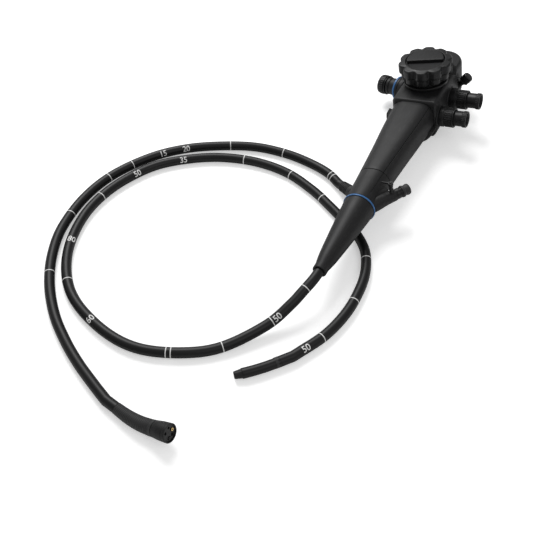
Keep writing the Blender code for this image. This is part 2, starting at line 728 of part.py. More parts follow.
def knob_outline(radius):
    """Round lobes with scallops between them."""
    points = []
    per_lobe = 5
    for i in range(KNOB_LOBES * per_lobe):
        angle = 2 * math.pi * i / (KNOB_LOBES * per_lobe) + DISC_TURN
        wave = (1 - math.cos(KNOB_LOBES * (angle - DISC_TURN))) / 2
        r = radius - KNOB_SCALLOP * wave**1.6
        points.append((r * math.cos(angle), r * math.sin(angle)))
    return points


def build_knobs():
    deck = HEAD_TOP + CLEARANCE
    collar_bore = UD_SHAFT_RADIUS + RUNNING
    collar = [
        (COLLAR_RADIUS - 0.0014, COLLAR_HEIGHT),
        (COLLAR_RADIUS, COLLAR_HEIGHT - 0.0010),
        (COLLAR_RADIUS, 0.0),
        (collar_bore, 0.0),
        (collar_bore, COLLAR_HEIGHT),
    ]
    turned_along("knob_collar", collar, "knob", (0, 0, deck), (0, 0, 1), 24)

    brake_at = deck + COLLAR_HEIGHT + KNOB_GAP
    plate = ring(BRAKE_RADIUS, UD_SHAFT_RADIUS + RUNNING, BRAKE_HEIGHT)
    brake = turned_along("ud_brake_lever", plate, "knob", (0, 0, brake_at), (0, 0, 1), 24)
    turn = Matrix.Translation((0, 0, brake_at)) @ Matrix.Rotation(BRAKE_ARM_ANGLE, 4, "Z")
    half = BRAKE_ARM_WIDTH / 2
    arm = block("brake_arm", (BRAKE_RADIUS - 0.003, -half, 0), (BRAKE_ARM, half, BRAKE_HEIGHT), None, BODY)
    arm.matrix_local = turn
    tab_low = (BRAKE_ARM - 0.0022, -half, 0)
    tab = block("brake_tab", tab_low, (BRAKE_ARM, half, BRAKE_TAB), None, BODY)
    tab.matrix_local = turn
    join(join(brake, arm), tab)

    ud_at = brake_at + BRAKE_HEIGHT + KNOB_GAP
    ud_top = ud_at + UD_KNOB_HEIGHT
    ud = prism("ud_knob", knob_outline(UD_KNOB_RADIUS), ud_at, ud_top, "knob", BODY, KNOB_CHAMFER)
    ud_shaft = rod("ud_shaft", UD_SHAFT_RADIUS, ud_at - UD_DRUM_AT + OVERRUN, None, BODY)
    join(ud, aim(ud_shaft, (0, 0, UD_DRUM_AT), (0, 0, 1)))
    ud_bore = rod("ud_shaft_bore", LR_SHAFT_RADIUS + RUNNING, ud_top - UD_DRUM_AT + 0.004, None, BODY)
    cut(ud, aim(ud_bore, (0, 0, UD_DRUM_AT - 0.002), (0, 0, 1)))

    lr_at = ud_top + KNOB_GAP
    lr_top = lr_at + LR_KNOB_HEIGHT
    lr = prism("lr_knob", knob_outline(LR_KNOB_RADIUS), lr_at, lr_top, "knob", BODY, KNOB_CHAMFER)
    shaft = rod("lr_shaft", LR_SHAFT_RADIUS, lr_at - LR_SHAFT_END + OVERRUN, None, BODY)
    join(lr, aim(shaft, (0, 0, LR_SHAFT_END), (0, 0, 1)))
    recess = rod("disc_recess", DISC_RADIUS + RUNNING, DISC_RECESS + OVERRUN, None, BODY, 36)
    cut(lr, aim(recess, (0, 0, lr_top - DISC_RECESS), (0, 0, 1)))
    pivot_bore = rod("brake_pivot_bore", DISC_PIVOT + RUNNING, DISC_RECESS + 0.004, None, BODY, 16)
    cut(lr, aim(pivot_bore, (0, 0, lr_top - DISC_RECESS - 0.003), (0, 0, 1)))

    disc_at = lr_top - DISC_RECESS + CLEARANCE
    disc = rod("lr_brake_disc", DISC_RADIUS, DISC_LOW, "knob", BODY, 32)
    aim(disc, (0, 0, disc_at), (0, 0, 1))
    half_disc = [(DISC_RADIUS - 0.0008, 0.0), *arc(DISC_RADIUS - 0.0008, 0.0, math.pi, 15)[1:]]
    raised = prism("disc_grip", half_disc, 0.0005, DISC_HIGH, None, BODY)
    raised.matrix_local = Matrix.Translation((0, 0, disc_at)) @ Matrix.Rotation(DISC_TURN, 4, "Z")
    join(disc, raised)
    pivot = rod("disc_pivot", DISC_PIVOT, 0.0030, None, BODY, 16)
    join(disc, aim(pivot, (0, 0, disc_at - 0.0025), (0, 0, 1)))

    groove = DRUM_RADIUS - DRUM_GROOVE
    drums = (("ud_drum", UD_DRUM_AT, UD_SHAFT_RADIUS), ("lr_drum", LR_DRUM_AT, LR_SHAFT_RADIUS))
    for name, at, bore in drums:
        profile = [
            (DRUM_RADIUS, DRUM_HEIGHT),
            (DRUM_RADIUS, DRUM_HEIGHT * 0.75),
            (groove, DRUM_HEIGHT * 0.60),
            (groove, DRUM_HEIGHT * 0.40),
            (DRUM_RADIUS, DRUM_HEIGHT * 0.25),
            (DRUM_RADIUS, 0.0),
            (bore + CLEARANCE, 0.0),
            (bore + CLEARANCE, DRUM_HEIGHT),
        ]
        turned_along(name, profile, "steel", (0, 0, at), (0, 0, 1), 16)


COVER_INNER = -HEAD_BOTTOM + COVER_THICKNESS
CHASSIS_AT = COVER_INNER + CLEARANCE
LR_SHAFT_END = CHASSIS_AT + CLEARANCE
LR_DRUM_AT = CHASSIS_AT + CHASSIS_THICKNESS + CLEARANCE
UD_DRUM_AT = LR_DRUM_AT + DRUM_HEIGHT + CLEARANCE
DISC_PIVOT = 0.0016


def build_inside():
    half = HEAD_HALF_WIDTH - HEAD_WALL - CHASSIS_MARGIN
    low = (-half, -HEAD_FRONT + HEAD_WALL + CHASSIS_MARGIN, CHASSIS_AT)
    high = (half, HEAD_STRAIGHT - CHASSIS_MARGIN, CHASSIS_AT + CHASSIS_THICKNESS)
    chassis = block("chassis_plate", low, high, "steel", BODY)
    shaft_hole = rod("chassis_hole", LR_SHAFT_RADIUS + RUNNING, 3 * CHASSIS_THICKNESS, None, BODY, 16)
    cut(chassis, aim(shaft_hole, (0, 0, CHASSIS_AT - CHASSIS_THICKNESS), (0, 0, 1)))
    for i, (x, y) in enumerate(SCREW_SPOTS):
        hole = rod(f"chassis_screw_{i}", SCREW_SHANK + CLEARANCE, 3 * CHASSIS_THICKNESS, None, BODY, 8)
        cut(chassis, aim(hole, (x, y, CHASSIS_AT - CHASSIS_THICKNESS), (0, 0, 1)))

    board_half = half - BOARD_MARGIN
    board_low = (-board_half, HEAD_STRAIGHT - BOARD_REACH, CHASSIS_AT + CHASSIS_THICKNESS + CLEARANCE)
    board_high = (board_half, HEAD_STRAIGHT - CHASSIS_MARGIN, board_low[2] + BOARD_THICKNESS)
    board = block("image_board", board_low, board_high, "board", BODY)
    chip_low = (-CHIP_HALF, board_low[1] + CHIP_EDGE, board_low[2] + BOARD_THICKNESS / 2)
    chip_high = (CHIP_HALF, board_high[1] - CHIP_EDGE, board_high[2] + CHIP_HEIGHT)
    join(board, block("image_chip", chip_low, chip_high, None, BODY))

    end = BRANCH_END - BRANCH_END_WALL - CLEARANCE
    stay_start = GRIP_START + STAY_BACK
    stay_end = stay_start + STAY_LENGTH
    stay_low = (-STAY_HALF, -stay_end, STAY_LOW)
    stay = block("wire_stay", stay_low, (STAY_HALF, -stay_start, STAY_HIGH), "steel", BODY)
    height = (STAY_LOW + STAY_HIGH) / 2
    for i, x in enumerate(COIL_SPOTS):
        stops = ((x, stay_end - STAY_LENGTH / 2), (x, stay_end + STAY_LENGTH / 2), (x * COIL_PINCH, end))
        line = [Vector((at, -distance, height)) for at, distance in stops]
        join(stay, tube_mesh(f"coil_pipe_{i}", line, COIL_RADIUS, None, BODY))

    bundle = [
        (-0.0085, -HEAD_FRONT + 0.010, 0.0030),
        (-0.0075, -HEAD_FRONT - 0.010, 0.0040),
        (-0.0060, -GRIP_START - GRIP_LENGTH * 0.85, 0.0050),
        (-0.0050, -BRANCH_START - BRANCH_LENGTH * 0.42, 0.0050),
        (-0.0050, -end, 0.0050),
    ]
    tube("light_bundle", smooth_points(bundle, PIPE_SPACING), BUNDLE_RADIUS, "sleeve", BODY, 2)
    suction = [
        (0.0070, -HEAD_FRONT + 0.006, 0.0040),
        (0.0060, -HEAD_FRONT - 0.020, 0.0050),
        (0.0045, -BRANCH_START - BRANCH_LENGTH * 0.19, 0.0055),
        (0.0045, -end, 0.0055),
    ]
    tube("suction_pipe", smooth_points(suction, PIPE_SPACING), SUCTION_PIPE_RADIUS, "sleeve", BODY, 2)


def build_valve(prefix, at, base_length, button_length, base_radius, finish="knob"):
    """A valve: fixed cylinder with knurled collar, sprung button with a stem, and its spring."""
    face = HEAD_HALF_WIDTH + VALVE_SEAT + CLEARANCE
    top = base_length + VALVE_COLLAR_LENGTH
    bottom = top - BUTTON_INSERT
    seat = bottom - BUTTON_TRAVEL - SPRING_PRESSED - 2 * CLEARANCE
    inner = VALVE_INNER - face
    bore = BUTTON_RADIUS + RUNNING
    profile = [
        (VALVE_COLLAR_RADIUS - 0.0006, top),
        (VALVE_COLLAR_RADIUS, top - 0.0008),
        (VALVE_COLLAR_RADIUS, base_length),
        (base_radius, base_length - 0.0010),
        (base_radius, 0.0),
        (VALVE_BARREL_RADIUS, 0.0),
        (VALVE_BARREL_RADIUS, inner),
        (BUTTON_STEM + RUNNING, inner),
        (BUTTON_STEM + RUNNING, seat),
        (bore, seat),
        (bore, top),
    ]
    turned_along(prefix + "_cylinder", profile, finish, (face, at, VALVE_HEIGHT), (1, 0, 0))
    end = top + button_length
    dish_radius = BUTTON_RADIUS - BUTTON_RIM
    stem_end = seat - STEM_REACH
    button = [
        (0.0, end - BUTTON_DISH),
        (dish_radius, end - BUTTON_DISH),
        (dish_radius, end),
        (BUTTON_FACE, end),
        (BUTTON_RADIUS, end - BUTTON_EDGE),
        (BUTTON_RADIUS, bottom),
        (BUTTON_STEM, bottom),
        (BUTTON_STEM, stem_end),
        (0.0, stem_end),
    ]
    turned_along(prefix + "_button", button, finish, (face, at, VALVE_HEIGHT), (1, 0, 0))
    middle = (BUTTON_STEM + bore) / 2
    per_turn = 6
    pitch = (SPRING_PRESSED - 2 * SPRING_WIRE - CLEARANCE) / (SPRING_TURNS * per_turn)
    coil = []
    for i in range(SPRING_TURNS * per_turn + 1):
        angle = 2 * math.pi * i / per_turn
        rise = seat + CLEARANCE + SPRING_WIRE + pitch * i
        coil.append(Vector((middle * math.cos(angle), middle * math.sin(angle), rise)))
    spring = tube(prefix + "_spring", coil, SPRING_WIRE, "steel", BODY, 1)
    spring.modifiers.new("flat_facets", "TRIANGULATE")
    aim(spring, (face, at, VALVE_HEIGHT), (1, 0, 0))


def build_light_post():
    """The light guide's post: a flange on the head's boss, a blue ring, a stem and a turning cap."""
    top = POST_FLANGE + POST_RING_WIDTH + POST_LENGTH + 2 * CLEARANCE
    stub = POST_CAP_LENGTH * CAP_HOLD
    post = [
        (0.0, top + stub),
        (POST_SPIGOT, top + stub),
        (POST_SPIGOT, top),
        (POST_RADIUS, top),
        (POST_RADIUS, POST_FLANGE),
        (POST_FLANGE_RADIUS, POST_FLANGE),
        (POST_FLANGE_RADIUS, 0.0),
        (POST_SPIGOT, 0.0),
        (POST_SPIGOT, -2 * HEAD_WALL),
        (0.0, -2 * HEAD_WALL),
    ]
    turned_along("light_post", post, "casing", POST_FACE, POST_HEADING)
    blue = ring(POST_RING_RADIUS, POST_RADIUS + CLEARANCE, POST_RING_WIDTH)
    blue_at = POST_FACE + POST_HEADING * (POST_FLANGE + CLEARANCE)
    turned_along("light_post_ring", blue, "blue", blue_at, POST_HEADING, 24)
    cap = cap_profile(POST_CAP_RADIUS, POST_CAP_LENGTH, POST_SPIGOT, stub)
    turned_along("light_post_cap", cap, "knob", POST_FACE + POST_HEADING * (top + CLEARANCE), POST_HEADING)


def cap_profile(radius, length, stub_radius, stub):
    """A closed cap with a chamfered end, bored for the stub that carries it."""
    chamfer = radius * CAP_CHAMFER
    bore = stub_radius + RUNNING
    return [
        (0.0, length),
        (radius - chamfer, length),
        (radius, length - chamfer),
        (radius, 0.0),
        (bore, 0.0),
        (bore, stub + CLEARANCE),
        (0.0, stub + CLEARANCE),
    ]


def build_vent():
    heading = Vector(VENT_HEADING).normalized()
    root = Vector(VENT_AT)
    stem_end = HEAD_WALL + VENT_STEM
    stub = VENT_CAP_LENGTH * CAP_HOLD
    turned_along("vent_nipple", rod_profile(VENT_STEM_RADIUS, stem_end + stub), "casing", root, heading, 14)
    cap = cap_profile(VENT_CAP_RADIUS, VENT_CAP_LENGTH, VENT_STEM_RADIUS, stub)
    turned_along("vent_cap", cap, "knob", root + heading * stem_end, heading)


def rod_profile(radius, length):
    return [(0.0, length), (radius, length), (radius, 0.0), (0.0, 0.0)]


def build_biopsy_port():
    axis = NECK_AXIS
    face = Vector(NECK_END) + axis * CLEARANCE
    spigot = PORT_SPIGOT / 2
    lip = spigot + PORT_LIP
    stub_end = PORT_LENGTH + CAP_LENGTH * CAP_HOLD
    port = [
        (PORT_RADIUS, PORT_LENGTH),
        (PORT_RADIUS, 0.0),
        (spigot, 0.0),
        (spigot, -PORT_DEPTH),
        (PORT_BORE, -PORT_DEPTH),
        (PORT_BORE, stub_end),
        (lip, stub_end),
        (lip, PORT_LENGTH),
    ]
    turned_along("biopsy_port", port, "knob", face, axis, 18)
    cap = cap_profile(CAP_RADIUS, CAP_LENGTH, lip, stub_end - PORT_LENGTH)
    turned_along("biopsy_cap", cap, "rubber", face + axis * (PORT_LENGTH + CLEARANCE), axis)

    up = (0, 0, 1)
    tap = NOZZLE_RADIUS * 0.5
    seat = NOZZLE_RADIUS * 0.7
    tap_top = NOZZLE_HEIGHT + LEVER_HEIGHT + TAP_STAND
    nozzle = [
        (0.0, tap_top),
        (tap, tap_top),
        (tap, NOZZLE_HEIGHT),
        (NOZZLE_RADIUS, NOZZLE_HEIGHT),
        (NOZZLE_RADIUS, NOZZLE_SHOULDER),
        (seat, NOZZLE_SHOULDER),
        (seat, -NOZZLE_RADIUS),
        (0.0, -NOZZLE_RADIUS),
    ]
    turned_along("flush_nozzle", nozzle, "knob", NOZZLE_ROOT, up, 14)
    lever = rod("flush_lever", NOZZLE_RADIUS * 1.2, LEVER_HEIGHT, "knob", BODY, 16)
    at = NOZZLE_ROOT + Vector((0, 0, NOZZLE_HEIGHT + RUNNING))
    turn = Matrix.Translation(at) @ Matrix.Rotation(math.pi / 2 - NECK_ANGLE, 4, "Z")
    lever.matrix_local = turn
    half = LEVER_WIDTH / 2
    handle_low = (-LEVER_LENGTH, -half, LEVER_STEP)
    handle = block("lever_handle", handle_low, (0, half, LEVER_HEIGHT - LEVER_STEP), None, BODY)
    handle.matrix_local = turn
    join(lever, handle)
    pivot = rod("lever_bore", tap + RUNNING, 3 * LEVER_HEIGHT, None, BODY, 12)
    cut(lever, aim(pivot, at - Vector((0, 0, LEVER_HEIGHT)), up))


def build_saddle():
    """The rest under the grip: its top follows the grip, its foot is cut flat on the table."""
    count = 15
    start, end = -SADDLE_AT - SADDLE_LENGTH / 2, -SADDLE_AT + SADDLE_LENGTH / 2
    first, last = math.pi - SADDLE_WRAP, 2 * math.pi + SADDLE_WRAP
    angles = [first + (last - first) * i / (count - 1) for i in range(count)]
    rings = []
    for distance in (start, end):
        outer = [section_point(distance, a, -SADDLE_THICKNESS) for a in angles]
        inner = [section_point(distance, a, -CLEARANCE) for a in reversed(angles)]
        rings.append(outer + inner)
    saddle = loft("underside_rest", rings, "rubber", BODY)
    foot_low = (-SADDLE_FOOT, -end, -HEAD_BOTTOM - SADDLE_FOOT)
    foot = block("rest_foot", foot_low, (SADDLE_FOOT, -start, -HEAD_BOTTOM), None, BODY)
    join(saddle, foot)
    round_angles = [2 * math.pi * i / 24 for i in range(24)]
    spans = (start - OVERRUN, end + OVERRUN)
    hollow_rings = [[section_point(distance, a, -CLEARANCE) for a in round_angles] for distance in spans]
    cut(saddle, loft("rest_hollow", hollow_rings, None, BODY))
    table = block("table_cut", (-0.1, -0.2, -0.1), (0.1, 0.2, 0.0), None)
    table.location = (BODY_X, BODY_Y, 0.0)
    cut(saddle, table)


def tip_frames():
    """Frames of the bending section's hinges and tip: Z runs along the tube, X is the first hinge axis."""
    frames = []
    place = Vector(TIP_START)
    heading = TIP_HEADING
    length = COUPLING_LENGTH
    for i in range(LINK_COUNT + 2):
        along = Vector((math.cos(heading), math.sin(heading), 0.0))
        side = Vector((-along.y, along.x, 0.0))
        up = Vector((0, 0, 1))
        spin = Matrix.Rotation(LINK_TWIST, 3, "Z")
        axes = Matrix((side, up, along)).transposed() @ spin
        frames.append(Matrix.Translation(place) @ axes.to_4x4())
        place = place + along * length
        heading += TIP_CURL
        length = LINK_PITCH
    return frames


def ear_prism(name, height, reach, along_x, parent, frame):
    """The outline of a pair of ears, rounded round the hinge, raised along the hinge axis."""
    ear = EAR_RADIUS
    start = 0.0 if height > 0 else math.pi
    side = math.copysign(ear, height)
    outline = [(-side, 0.0), (side, 0.0), *arc(ear, start, start + math.pi, 5, (0.0, height))]
    shape = prism(name, outline, -reach, reach, None, parent)
    stand = Matrix(((1, 0, 0), (0, 0, -1), (0, 1, 0)))
    if along_x:
        stand = Matrix(((0, 0, 1), (1, 0, 0), (0, 1, 0)))
    shape.matrix_local = frame @ stand.to_4x4()
    return shape


EAR_RADIUS = LINK_GAP / 2 - EAR_PLAY
EAR_INSET = 0.00003
EAR_ROOT = 0.0003


def ring_body(name, outer, inner, low, high, finish, frame, steps=11):
    profile = [(outer, high), (outer, low), (inner, low), (inner, high)]
    obj = turned(name, profile, finish, FLOOR, steps)
    obj.matrix_local = frame
    return obj


def add_ears(target, frame, hinge_height, base_height, outer, inner, along_x, name):
    """A pair of ears cut from a thin ring, joined to a link a little inside its walls."""
    outer, inner = outer - EAR_INSET, inner + EAR_INSET
    beyond = hinge_height + math.copysign(EAR_RADIUS * 1.5, hinge_height - base_height)
    low, high = sorted((base_height, beyond))
    ears = ring_body(name, outer, inner, low, high, None, frame)
    shift = Matrix.Translation((0, 0, base_height))
    mask = ear_prism(name + "_shape", hinge_height - base_height, outer * 2, along_x, FLOOR, frame @ shift)
    boolean(ears, mask, "INTERSECT")
    join(target, ears)


def cross_rod(name, radius, reach, height, along_x, frame):
    axis = (1, 0, 0) if along_x else (0, 1, 0)
    shape = rod(name, radius, 2 * reach, None, FLOOR, 8)
    turn = Vector(axis).to_track_quat("Z", "Y").to_matrix().to_4x4()
    start = Matrix.Translation(Vector((0, 0, height)) - Vector(axis) * reach)
    shape.matrix_local = frame @ start @ turn
    return shape


def build_bending_section():
    """Vertebra links joined by crossed hinges, from the tube's coupling to the distal tip."""
    frames = tip_frames()
    outer, inner = LINK_RADIUS, LINK_RADIUS - LINK_WALL
    middle = (outer + inner) / 2
    outer_ear = (outer, middle + EAR_PLAY / 2)
    inner_ear = (middle - EAR_PLAY / 2, inner)
    half_gap = LINK_GAP / 2
    front = LINK_PITCH - half_gap
    hole = PIN_RADIUS + EAR_PLAY / 2

    sleeve_end = COUPLING_LENGTH - half_gap
    sleeve_radius = TUBE_RADIUS + COUPLING_STAND
    coupling = ring_body("tube_coupling", sleeve_radius, inner, CLEARANCE, sleeve_end, "rubber", frames[0])
    add_ears(coupling, frames[0], COUPLING_LENGTH, sleeve_end - EAR_ROOT, *outer_ear, True, "coupling_ear")
    cut(coupling, cross_rod("coupling_hole", hole, outer * 2, COUPLING_LENGTH, True, frames[0]))

    for i, frame in enumerate(frames[1:]):
        along_x = i % 2 == 0
        if i == LINK_COUNT:
            part = turned_tip("distal_tip", frame, half_gap, inner)
        else:
            part = ring_body(f"bending_link_{i + 1}", outer, inner, half_gap, front, "steel", frame)
            add_ears(part, frame, LINK_PITCH, front - EAR_ROOT, *outer_ear, not along_x, f"front_ear_{i}")
            cut(part, cross_rod(f"front_hole_{i}", hole, outer * 2, LINK_PITCH, not along_x, frame))
        add_ears(part, frame, 0.0, half_gap + EAR_ROOT, *inner_ear, along_x, f"rear_ear_{i}")
        pins = cross_rod(f"pins_{i}", PIN_RADIUS, outer - PIN_SINK, 0.0, along_x, frame)
        gap = rod(f"pin_gap_{i}", (inner + middle) / 2, 4 * PIN_RADIUS, None, FLOOR, 12)
        gap.matrix_local = frame @ Matrix.Translation((0, 0, -2 * PIN_RADIUS))
        cut(pins, gap)
        join(part, pins)


def turned_tip(name, frame, start, inner):
    """The rigid distal end, with its channel mouth and the seats of its lens, lights and nozzle."""
    end = start + TIP_LENGTH
    face = TIP_NOSE_RADIUS
    profile = [
        (0.0, end),
        (face - 0.0004, end),
        (face, end - 0.0004),
        (TIP_RADIUS, end - TIP_LENGTH * 0.45),
        (LINK_RADIUS, start + 0.0010),
        (LINK_RADIUS, start),
        (inner, start),
        (inner, start + 0.0012),
        (0.0, start + 0.0012),
    ]
    tip = turned(name, profile, "casing", FLOOR, 18)
    tip.matrix_local = frame
    for label, (x, y), radius, depth in TIP_FEATURES:
        seat = rod(f"{label}_seat", radius + CLEARANCE / 2, depth + 0.0002, None, FLOOR, 10)
        seat.matrix_local = frame @ Matrix.Translation((x, y, end - depth))
        cut(tip, seat)
        if label != "channel":
            piece = rod(label, radius, depth - CLEARANCE - TIP_SINK, "glass", FLOOR, 10)
            piece.matrix_local = frame @ Matrix.Translation((x, y, end - depth + CLEARANCE))
    return tip


TIP_FEATURES = (
    ("channel", (0.0010, -0.0012), 0.0011, 0.0040),
    ("tip_lens", (-0.0009, 0.0011), 0.0010, 0.0020),
    ("tip_light_left", (-0.0020, -0.0011), 0.0005, 0.0018),
    ("tip_light_right", (0.0016, 0.0014), 0.0006, 0.0018),
)


def build_cords():
    start = Vector((0.0, TUBE_SEAT, AXIS_HEIGHT))
    end = Vector(TIP_START)
    last = end - Vector((math.cos(TIP_HEADING), math.sin(TIP_HEADING), 0.0)) * CORD_LEAD
    route = [Vector((0.0, 0.0, AXIS_HEIGHT)), *[Vector(p) for p in INSERTION_ROUTE], last]
    points = [start, *smooth_points(route, CORD_SPACING * 2 * TUBE_RADIUS), end]
    tube("insertion_tube", points, TUBE_RADIUS, "tube", FLOOR)

    heading = Vector(SOCKET_HEADING).normalized()
    relief_root = Vector(SOCKET_CENTRE) + heading * (SOCKET_REACH - RELIEF_SEAT)
    relief = [
        (RELIEF_TIP_RADIUS, RELIEF_SEAT + RELIEF_LENGTH),
        (RELIEF_ROOT_RADIUS, RELIEF_SEAT + 0.0020),
        (RELIEF_ROOT_RADIUS, RELIEF_SEAT + CLEARANCE),
        (RELIEF_TIP_RADIUS - CLEARANCE, RELIEF_SEAT + CLEARANCE),
        (RELIEF_TIP_RADIUS - CLEARANCE, 0.0),
        (0.0, 0.0),
    ]
    relief.insert(0, (0.0, RELIEF_SEAT + RELIEF_LENGTH))
    turned_along("umbilical_relief", relief, "rubber", relief_root, heading, 18)
    exit_local = relief_root + heading * (RELIEF_SEAT + RELIEF_LENGTH + CLEARANCE)
    to_floor = FLOOR_MATRIX.inverted() @ BODY_MATRIX
    cord_start = to_floor @ exit_local
    cord_heading = to_floor.to_3x3() @ heading
    flare = flare_points()
    flare_heading = (flare[1] - flare[0]).normalized()
    cord_end = flare[0] - flare_heading * CLEARANCE
    approach = flare[0] - flare_heading * CORD_LEAD
    route = [cord_start + cord_heading * CORD_LEAD / 2, *[Vector(p) for p in UMBILICAL_ROUTE], approach]
    points = [cord_start, *smooth_points(route, CORD_SPACING * 2 * UMBILICAL_RADIUS), cord_end]
    tube("umbilical_cord", points, UMBILICAL_RADIUS, "tube", FLOOR)


def plug_matrix():
    """Frame of the connector: Z runs from the flare out of its face, lifted by the plug's pitch."""
    flat = Vector((*PLUG_HEADING, 0.0)).normalized()
    along = (flat * math.cos(PLUG_PITCH) + Vector((0, 0, math.sin(PLUG_PITCH)))).normalized()
    side = Vector((0, 0, 1)).cross(along).normalized()
    up = along.cross(side)
    axes = Matrix((side, up, along)).transposed()
    return Matrix.Translation(PLUG_START) @ axes.to_4x4()


def flare_points():
    """The flare's centre line, straight where it meets the shell."""
    plug = plug_matrix()
    end = plug @ Vector((0, 0, -CLEARANCE))
    before = plug @ Vector((0, 0, -CORD_LEAD / 2))
    return [*smooth_points([*FLARE_ROUTE, before], FLARE_RADIUS), end]


def build_connector():
    frame = plug_matrix()
    points = flare_points()
    flare = tube("connector_flare", points, FLARE_RADIUS, "rubber", FLOOR)
    for i, spot in enumerate(flare.data.splines[0].points):
        reached = i / (len(points) - 1)
        spot.radius = (FLARE_ROOT_RADIUS + (FLARE_RADIUS - FLARE_ROOT_RADIUS) * reached) / FLARE_RADIUS
    face = SHELL_LENGTH
    well = SHELL_RADIUS - SHELL_WALL
    shell = [
        (0.0, SHELL_FLOOR),
        (well, SHELL_FLOOR),
        (well, face),
        (SHELL_RADIUS - 0.0003, face),
        (SHELL_RADIUS, face - 0.0005),
        (SHELL_RADIUS - 0.0003, face - SHELL_LENGTH * 0.6),
        (FLARE_RADIUS, 0.0),
        (0.0, 0.0),
    ]
    obj = turned("connector_shell", shell, "casing", FLOOR, 24)
    obj.matrix_local = frame
    insert_start = SHELL_FLOOR + CLEARANCE
    insert_face = face - INSERT_DEPTH
    insert = rod("connector_insert", well - CLEARANCE, insert_face - insert_start, "rubber", FLOOR, 24)
    insert.matrix_local = frame @ Matrix.Translation((0, 0, insert_start))
    for label, (x, y), radius, depth in PLUG_FEATURES:
        hole = rod(f"{label}_hole", radius, depth + OVERRUN, None, FLOOR, 12)
        hole.matrix_local = frame @ Matrix.Translation((x, y, insert_face - depth))
        cut(insert, hole)
    for (label, (x, y), hole_radius, depth), finish in zip(PLUG_FEATURES, ("brass", "rubber")):
        radius = hole_radius - PLUG_MOAT
        length = depth + PLUG_STAND
        bore = radius / 2
        mouth = [(0.0, length - 4 * bore), (bore, length - 4 * bore), (bore, length)]
        obj = turned(label, [*mouth, (radius, length), (radius, 0.0), (0.0, 0.0)], finish, FLOOR, 12)
        obj.matrix_local = frame @ Matrix.Translation((x, y, insert_face - depth + CLEARANCE))


PLUG_FEATURES = (
    ("connector_pin", (0.0037, 0.0000), 0.0018, 0.0070),
    ("connector_nozzle", (-0.0022, -0.0034), 0.0017, 0.0060),
    ("light_socket", (0.0019, -0.0038), 0.0016, 0.0060),
    ("air_socket", (0.0020, 0.0036), 0.0010, 0.0050),
    ("water_socket", (-0.0028, 0.0028), 0.0013, 0.0050),
)

build_head()
build_grip()
build_knobs()
build_inside()
build_valve("suction", SUCTION_AT, SUCTION_BASE, SUCTION_BUTTON, VALVE_BASE_RADIUS)
build_valve("air", AIR_AT, AIR_BASE, AIR_BUTTON, VALVE_BASE_RADIUS - 0.0008)
build_light_post()
build_vent()
build_biopsy_port()
build_saddle()
build_bending_section()
build_cords()
build_connector()
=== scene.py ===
"""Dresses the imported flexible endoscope: sheaths, depth marks, casings, knobs, valves and finishes.

Shapes are made in millimetres, and a finished piece is brought to metres. The control body's own frame
has its origin where the knob axis meets the grip axis, X towards the valves, Y towards the rear dome and
Z up the knobs.
"""

import json
import math

import bmesh
import bpy
from bpy.props import FloatProperty, FloatVectorProperty, IntProperty, PointerProperty
from mathutils import Matrix, Vector

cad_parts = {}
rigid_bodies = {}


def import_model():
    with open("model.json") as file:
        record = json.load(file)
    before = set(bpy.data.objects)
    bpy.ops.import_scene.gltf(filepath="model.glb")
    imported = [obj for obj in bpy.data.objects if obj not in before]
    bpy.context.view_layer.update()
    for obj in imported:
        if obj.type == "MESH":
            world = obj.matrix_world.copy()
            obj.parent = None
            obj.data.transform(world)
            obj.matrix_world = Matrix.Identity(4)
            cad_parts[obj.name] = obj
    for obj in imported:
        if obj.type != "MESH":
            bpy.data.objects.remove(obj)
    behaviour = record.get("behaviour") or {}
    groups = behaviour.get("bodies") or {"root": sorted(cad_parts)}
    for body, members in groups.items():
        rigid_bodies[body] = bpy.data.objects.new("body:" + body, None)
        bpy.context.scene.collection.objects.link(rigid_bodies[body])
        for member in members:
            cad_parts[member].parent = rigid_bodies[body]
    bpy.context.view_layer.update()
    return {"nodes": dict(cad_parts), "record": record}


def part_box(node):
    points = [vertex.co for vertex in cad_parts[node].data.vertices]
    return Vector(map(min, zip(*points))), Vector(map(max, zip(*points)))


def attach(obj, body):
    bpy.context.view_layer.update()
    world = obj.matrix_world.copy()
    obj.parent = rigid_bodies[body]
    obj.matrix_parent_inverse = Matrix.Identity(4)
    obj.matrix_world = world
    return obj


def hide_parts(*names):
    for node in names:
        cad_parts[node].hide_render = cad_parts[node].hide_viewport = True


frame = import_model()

bl_info = {
    "name": "Flexible Endoscope",
    "version": (1, 0, 0),
    "blender": (4, 5, 0),
    "location": "View3D > Sidebar > Endoscope",
    "description": "Dresses the packed endoscope with its sheaths, casings, fittings and finishes",
    "category": "Object",
}

JOINTS = {joint["name"]: joint for joint in frame["record"]["behaviour"]["joints"]}
ROOT = "control_body"
MM = 0.001
METRES = Matrix.Scale(MM, 4)

# The control body's frame, from the axes of its joints, and the boot's mouth on the table.
KNOB_AXIS = Vector(JOINTS["up_down_turn"]["axis"]).normalized()
VALVE_AXIS = -Vector(JOINTS["suction_press"]["axis"]).normalized()
AXES = Matrix((VALVE_AXIS, KNOB_AXIS.cross(VALVE_AXIS), KNOB_AXIS)).transposed()
BODY = Matrix.Translation(Vector(JOINTS["up_down_turn"]["pos_m"]) / MM) @ AXES.to_4x4()
BODY_CENTRE = BODY.to_translation()
MOUTH = Vector((BODY_CENTRE.x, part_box("strain_boot")[0][1] / MM, 0.0))
FLOOR = Matrix.Translation(MOUTH)
BOOT_END = BODY_CENTRE.y - MOUTH.y

CLEARANCE = 0.3
SAME_SPOT = 1e-4
NODES_SHARP_ANGLE = math.radians(50)

